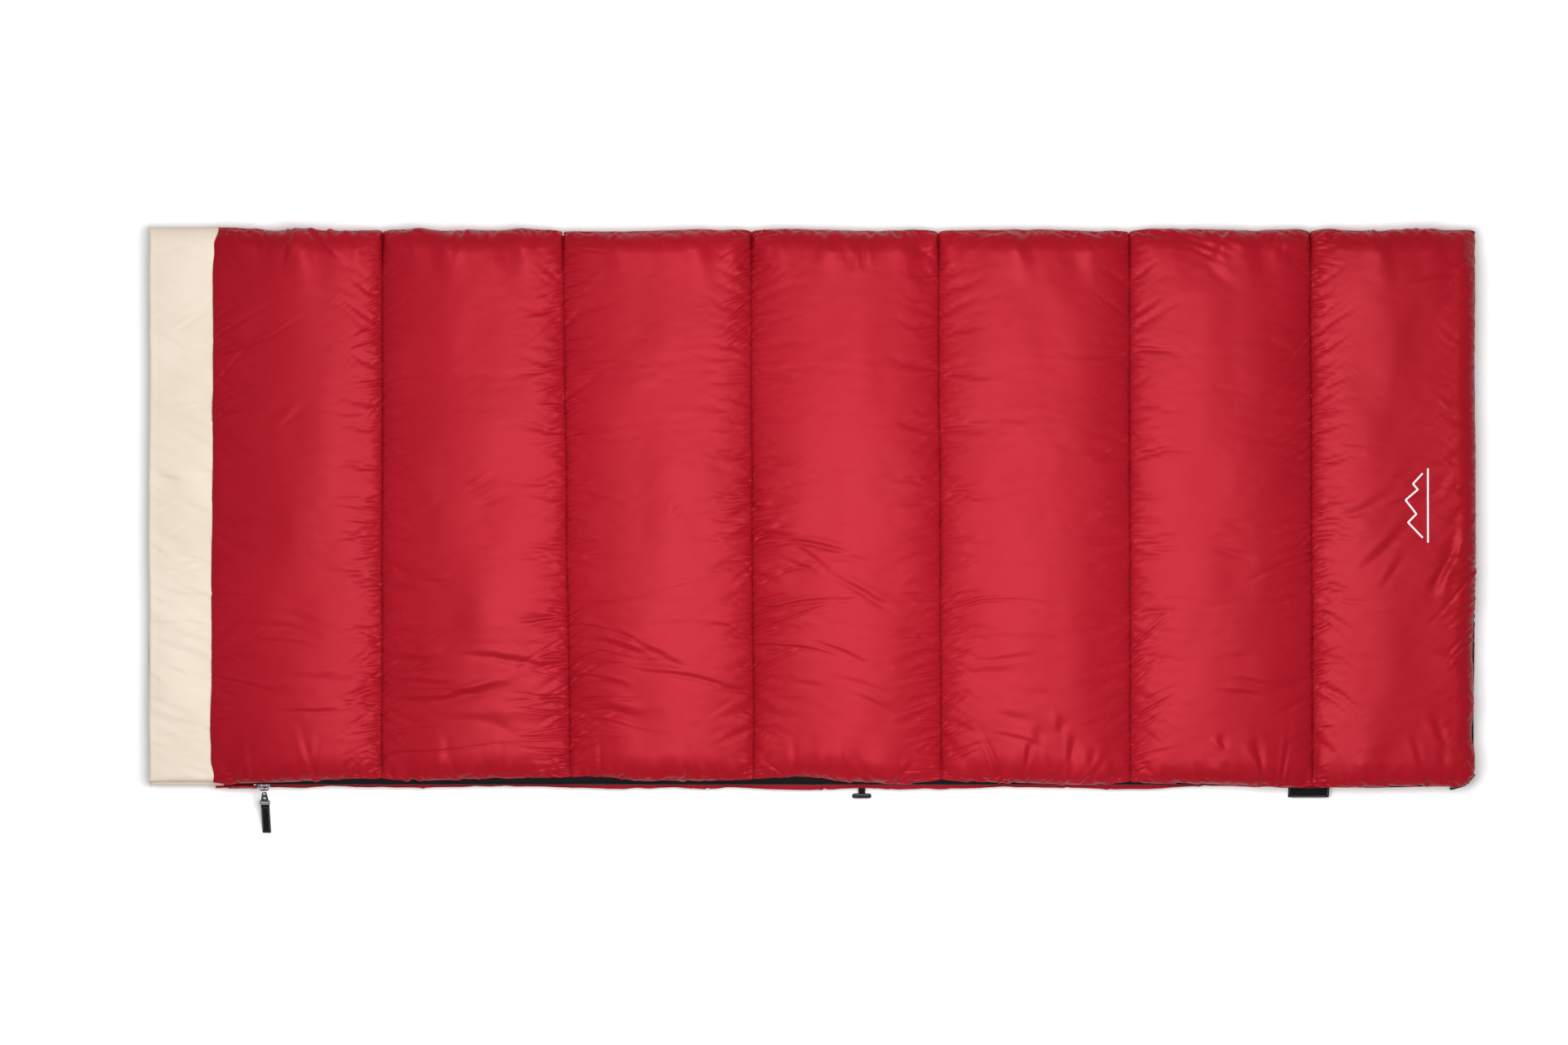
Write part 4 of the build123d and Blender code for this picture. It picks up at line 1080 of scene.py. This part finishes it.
def tape(name, side):
    """Woven tape from the chain's bead up to the quilt's ledge, then turned in."""
    low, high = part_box(name)
    centre, turn, _, out = chain_path(low.x, high.y, TAPE_STEP)
    x, y = centre.T
    inward = 0 * x
    if side > 0:
        inward = np.where(turn < 0.8, wander(x, UPPER_EDGE), wander(y, UPPER_FOOT))
        inward = inward + TAPE_UNDER - (CHAIN_Y - ZIP_Y)
    wave = TAPE_WAVE * noise_along(x + y, 0.035, 81 + side)
    bead, top = 0.0042, LEDGE - 0.0011  # heights of the tape's woven bead and of its turn
    lines = [(inward * share, w) for share, w in (
        (0, bead - 0.002), (0, bead), (0.03, SLIDER_TOP), (0.75, top - 0.0014), (1.0, top))]
    lines += [(inward + reach, top) for reach in (0.003, 0.008, 0.011)]
    rows = []
    for face in (1, -1):
        for shift, w in lines[::face]:
            half = face * TAPE_THICKNESS / 2
            place = centre - out * (shift + wave)[:, None]
            place += out * (half * (w < top))
            z = np.full(len(x), MIDDLE + side * (w + half * (w >= top)))
            rows.append(np.column_stack([place, z]))
    made = grid_object("woven_" + name, np.stack(rows), closed_rows=True)
    if side > 0:
        made.data.flip_normals()
    dress(made, black_tape, "cover" if side > 0 else "base", "zip_tape", name)


for side, name in ((1, "upper"), (-1, "lower")):
    teeth(f"{name}_zip_teeth", side)
    tape(f"{name}_zip_tape", side)


TUBE_END = 0.008  # length over which an end of the draft tube is rounded


def draft_tube():
    """Stuffed tube of lining cloth that hangs behind the zip."""
    low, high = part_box("draft_tube")
    centre = (low + high) / 2
    radius_y, radius_z = (high.y - low.y) / 2, (high.z - low.z) / 2
    x = np.linspace(low.x, high.x, 470)
    turns = np.linspace(0, 2 * math.pi, 28, endpoint=False)[:, None]
    end = np.minimum(x - low.x, high.x - x) / TUBE_END
    full = np.sqrt(1 - (1 - np.clip(end, 0.02, 1)) ** 2)
    full = full * (0.93 + 0.05 * noise(x + 0 * turns, turns + 0 * x, 0.02, 0.9, 91))
    y = centre.y + radius_y * full * np.cos(turns)
    z = centre.z + radius_z * full * np.sin(turns)
    made = tube_object("draft_tube_padded", np.stack([x + 0 * y, y, z], axis=2))
    dress(made, lining_cloth, "cover", "lining_cloth", "draft_tube")


draft_tube()


# --- Webbing, labels and the flap over the zip's end ---
def sewn_strip(node, thickness, body):
    """Strip of webbing with rounded long edges, along the slope of a CAD node. Returns its
    start, its end and its width."""
    low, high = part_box(node)
    middle_x = (low.x + high.x) / 2
    start = Vector((middle_x, high.y, high.z - thickness * 0.55))
    end = Vector((middle_x, low.y + 0.0004, low.z + thickness * 0.6))
    line = np.array([start.lerp(end, i / 39) for i in range(40)])
    across = np.array([1, 0, 0])
    normal = unit(np.cross(unit(np.gradient(line, axis=0)), across))
    upper_face = [(t, math.sqrt(1 - abs(t) ** 12) * 0.98 + 0.02) for t in np.linspace(-1, 1, 17)]
    s = np.linspace(0, 1, len(line))
    taper = 1 - 0.05 * np.clip(1 - np.minimum(s, 1 - s) * 40, 0, 1) ** 2
    half_width = ((high.x - low.x) / 2 * taper)[:, None]
    rows = [line + across * t * half_width + normal * (height * thickness / 2)
            for t, height in upper_face + [(t, -height) for t, height in upper_face[::-1]]]
    dress(tube_object("woven_" + node, np.stack(rows)), black_tape, body, "webbing", node)
    return start, end, high.x - low.x


def border(name, start, end, width, thickness, inset, body):
    """A rectangle of pale woven stitches on the upper face of a strip, inset from its edge."""
    along = (end - start).normalized()
    across = Vector((1, 0, 0))
    normal = along.cross(across).normalized()
    face = start + normal * (thickness / 2)
    a, b = across * (width / 2 - inset), along * inset
    c = along * ((end - start).length - inset)
    corners = [face - a + b, face + a + b, face + a + c, face - a + c]
    lines = []
    for first, second in zip(corners, corners[1:] + corners[:1]):
        points = np.array([first.lerp(second, i / 19) for i in range(20)])
        lines.append((points, np.tile(tuple(normal), (20, 1))))
    dress(stitches(name, lines, thickness=0.00024, lift=0.00014, length=0.0016, gap=0.0007),
          pale_thread, body, "webbing")


for node, thickness, body, inset, skipped in (("pull_tab", 0.0020, "zip_pull", 0.0015, 0.008),
                                              ("side_label", 0.0011, "base", 0.0022, 0)):
    start, end, width = sewn_strip(node, thickness, body)
    start += (end - start).normalized() * skipped  # the clamp covers this much of the tab
    border(node + "_border", start, end, width, thickness, inset, body)
sewn_strip("toggle_stem", 0.0014, "toggle")


def tube(name, points, radius, material, body, node, slot, closed=False, braid=0.0):
    """Round cord or wire along points, with a braided surface where braid isn't 0."""
    line = np.array([tuple(p) for p in points])
    around = np.vstack([line[-1:], line, line[:1]]) if closed else line
    tangent = unit(np.gradient(around, axis=0)[1:-1] if closed else np.gradient(line, axis=0))
    flat = unit(np.cross(line[len(line) // 3] - line[0], line[-len(line) // 4] - line[0]))
    side = np.cross(tangent, flat)
    rows = []
    s = np.arange(len(line))
    for angle in np.linspace(0, 2 * math.pi, 16, endpoint=False):
        bulge = radius * (1 + braid * np.sin(4 * angle + s * 0.9) * np.sin(4 * angle - s * 0.9))
        rows.append(line + bulge[:, None] * (flat * math.cos(angle) + side * math.sin(angle)))
    grid = np.stack(rows)
    if closed:
        made = grid_object(name, np.concatenate([grid, grid[:, :1]], axis=1), closed_rows=True)
    else:
        made = tube_object(name, grid)
    dress(made, material, body, slot, node)


def straight_leg(top, foot, left_out):
    """Points down a leg, without those that are too near its foot."""
    points = [top.lerp(foot, i / 12) for i in range(12)]
    return [point for point in points if (point - foot).length > left_out]


def rounded_u(left, left_foot, right_foot, right, radius):
    """Points of a U whose two lower corners are rounded."""
    points = straight_leg(left, left_foot, radius)
    for corner, before, after in ((left_foot, left, right_foot), (right_foot, left_foot, right)):
        a, b = (before - corner).normalized(), (after - corner).normalized()
        centre = corner + (a + b) * radius
        for angle in np.linspace(0, math.pi / 2, 15):
            points.append(centre - b * radius * math.cos(angle) - a * radius * math.sin(angle))
    return points + straight_leg(right, right_foot, radius)[::-1]


# The elastic cord sewn in at the foot corner with both ends.
LOOP_HEADING = math.radians(16.5)
LOOP_RADIUS = 0.0014
LOOP_SEAT = 0.0318  # from the corner's centre to the place where the cord comes out
LOOP_HALF = 0.011
LOOP_OVERHANG = 0.0048
loop_low, loop_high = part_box("corner_loop")
out = Vector((math.sin(LOOP_HEADING), -math.cos(LOOP_HEADING), 0))
half = Vector((math.cos(LOOP_HEADING), math.sin(LOOP_HEADING), 0)) * LOOP_HALF
seat = Vector((FOOT_X - 0.030, ZIP_Y + 0.030, loop_high.z - LOOP_RADIUS))
seat += out * math.sqrt(LOOP_SEAT**2 - LOOP_HALF**2)
foot = seat + out * LOOP_OVERHANG
foot.z = loop_low.z + LOOP_RADIUS + 0.0003
tube("elastic_loop", rounded_u(seat - half, foot - half, foot + half, seat + half, 0.005),
     LOOP_RADIUS, black_elastic, "base", "corner_loop", "elastic", braid=0.05)

ring_low, ring_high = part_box("pull_ring")
ring_centre = (ring_low + ring_high) / 2
RING_WIRE = (ring_high.x - ring_low.x) / 2
ring_radius = (ring_high.z - ring_low.z) / 2 - RING_WIRE
ring_points = [ring_centre + Vector((0, math.cos(a), math.sin(a))) * ring_radius
               for a in np.linspace(0, 2 * math.pi, 48, endpoint=False)]
tube("wire_ring", ring_points, RING_WIRE, bright_metal, "pull_ring", "pull_ring",
     "bright_metal", closed=True)

bail_low, bail_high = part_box("slider_bail")
BAIL_WIRE = (bail_high.z - bail_low.z) / 2
left, right = bail_low.x + BAIL_WIRE, bail_high.x - BAIL_WIRE
bail_points = rounded_u(*[Vector((x, y, MIDDLE)) for x, y in (
    (left, bail_high.y), (left, bail_low.y + BAIL_WIRE),
    (right, bail_low.y + BAIL_WIRE), (right, bail_high.y))], 0.0026)
tube("cast_bail", bail_points, BAIL_WIRE, gunmetal, "zip_slider", "slider_bail", "slider_metal")


FLAP_BULGE = 0.0035
FLAP_THICKNESS = 0.0013


def flap():
    """Folded flap of satin outside the head end of the zip, bulging and drawn to a tip."""
    low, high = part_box("garage_flap")
    t = np.linspace(0, 1, 60)
    x = low.x + (high.x - low.x) * t
    full = np.sqrt(1 - (1 - np.clip(t * 2.2, 0.02, 1)) ** 2)
    height = (high.z - low.z) / 2 * full
    centre_z = (low.z + high.z) / 2 + 0.002 * (1 - full)
    rows = []
    for face, inset in ((1, 0.0), (-1, FLAP_THICKNESS)):
        for across in np.linspace(-1, 1, 15)[::face]:
            bulge = FLAP_BULGE * (1 - across**2)
            crinkle = 0.0004 * noise(x, x * 0 + across * 0.01, 0.006, 0.008, 101)
            y = low.y + FLAP_BULGE - bulge + inset + crinkle
            rows.append(np.column_stack([x, y, centre_z + height * across]))
    dress(tube_object("satin_flap", np.stack(rows)), satin, "base", "shell_cloth", "garage_flap")


flap()


# --- Printed sign ---
SIGN_CENTRE = (0.864, 0.002)
SIGN_STROKE = 0.0026
SIGN_LIFT = 0.00025
# Strokes of a generic mountain ridge: along +Y, then up towards the head.
RIDGE = [(-0.046, -0.008), (-0.024, 0.013), (-0.012, 0.001), (0.008, 0.0165),
         (0.023, -0.001), (0.031, 0.006), (0.046, -0.008)]
BASE_LINE = [(-0.053, -0.0155), (0.053, -0.0155)]


def printed_sign():
    """White strokes that lie on the foot channel."""
    channel = bpy.data.objects["upper_channel_7"].data
    tree = BVHTree.FromPolygons([v.co for v in channel.vertices],
                                [tuple(p.vertices) for p in channel.polygons])
    points, faces = [], []
    for stroke in (RIDGE, BASE_LINE):
        line = np.array(stroke)
        ways = ways_along(line)
        s = np.linspace(0, ways[-1], round(ways[-1] / 0.0011))
        middle = point_at(s, ways, line)
        tangent = unit(np.gradient(middle, axis=0))
        side = np.column_stack([-tangent[:, 1], tangent[:, 0]])
        count = len(points)
        for place, across in zip(middle, side):
            for step in (-1, -0.5, 0, 0.5, 1):
                u, v = place + across * (step * SIGN_STROKE / 2)
                hit, normal, _, _ = tree.ray_cast(
                    Vector((SIGN_CENTRE[0] - v, SIGN_CENTRE[1] + u, 1)), Vector((0, 0, -1)))
                points.append(tuple(hit + normal * SIGN_LIFT))
        quads = [(k, k + 1, k + 6, k + 5) for k in range(4)]
        faces.append(count + repeated(quads, 5, len(s) - 1))
    made = mesh_object("printed_ridge", np.array(points), np.vstack(faces))
    dress(made, white_print, "cover", "shell_cloth")


printed_sign()


# --- Finish of the pieces that stay as the CAD made them ---
for material, nodes in (
    (gunmetal, ("slider_body", "pull_link")),
    (bright_metal, ("upper_top_stop", "lower_top_stop", "pull_clamp")),
    (toggle_plastic, ("toggle_bar",)),
    (zip_plastic, ("retainer_box", "retainer_pin")),
):
    for name in nodes:
        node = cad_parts[name]
        node.data.materials.clear()
        node.data.materials.append(material)

# --- Studio ---
camera_data = bpy.data.cameras.new("camera")
camera_data.lens = 100
camera_data.sensor_width = 36
camera = bpy.data.objects.new("camera", camera_data)
camera.location = (-0.040, -0.0222, 6.29)
bpy.context.scene.collection.objects.link(camera)
bpy.context.scene.camera = camera


def lamp(name, place, target, size, power):
    """Rectangular soft light that the camera doesn't see."""
    data = bpy.data.lights.new(name, "AREA")
    data.shape = "RECTANGLE"
    data.size, data.size_y = size
    data.energy = power
    made = bpy.data.objects.new(name, data)
    made.location = place
    made.rotation_mode = "QUATERNION"
    made.rotation_quaternion = (Vector(target) - Vector(place)).to_track_quat("-Z", "Y")
    made.visible_camera = False
    bpy.context.scene.collection.objects.link(made)


lamp("key", (0.12, -0.06, 2.4), (0.10, 0, 0), (1.4, 0.9), 66)
lamp("fill", (-1.2, 0.6, 2.6), (-0.3, 0, 0), (2.0, 2.0), 12)


def background_strength(tree, seen, unseen):
    """A strength that is one value where the camera sees it, through clear things too, and
    another as a light."""
    path = tree.nodes.new("ShaderNodeLightPath").outputs
    either = add_node(tree, "Math", "Value", {
        0: path["Is Camera Ray"], 1: path["Is Transmission Ray"]}, operation="MAXIMUM")
    return add_node(tree, "MapRange", "Result", {
        "Value": either, "To Min": unseen, "To Max": seen})


world = bpy.data.worlds.new("studio")
world.use_nodes = True
bpy.context.scene.world = world
set_inputs(world.node_tree, world.node_tree.nodes["Background"], {
    "Color": (1, 1, 1, 1), "Strength": background_strength(world.node_tree, 1.0, 0.32)})

# The floor is grey near the object and fades into the white background.
floor_material, tree, shader = new_material("floor")
away = add_node(tree, "VectorMath", "Value", {0: add_node(tree, "TexCoord", "Object")},
                operation="LENGTH")
lift = add_node(tree, "MapRange", "Result", {
    "Value": away, "From Min": 1.4, "From Max": 3.0, "To Min": 0.14, "To Max": 1.0})
glow = add_node(tree, "Math", "Value", {0: lift, 1: background_strength(tree, 1.0, 0.0)},
                operation="MULTIPLY")
set_inputs(tree, shader, {
    "Base Color": (0.86, 0.86, 0.86, 1), "Roughness": 0.9, "Specular IOR Level": 0.1,
    "Emission Color": (1, 1, 1, 1), "Emission Strength": glow})
FLOOR_Z = -0.0004
corners = [(x, y, FLOOR_Z) for x, y in ((-20, -20), (20, -20), (20, 20), (-20, 20))]
floor = mesh_object("floor", np.array(corners), np.array([(0, 1, 2, 3)]))
floor.data.materials.append(floor_material)

bpy.context.scene.view_settings.view_transform = "Standard"
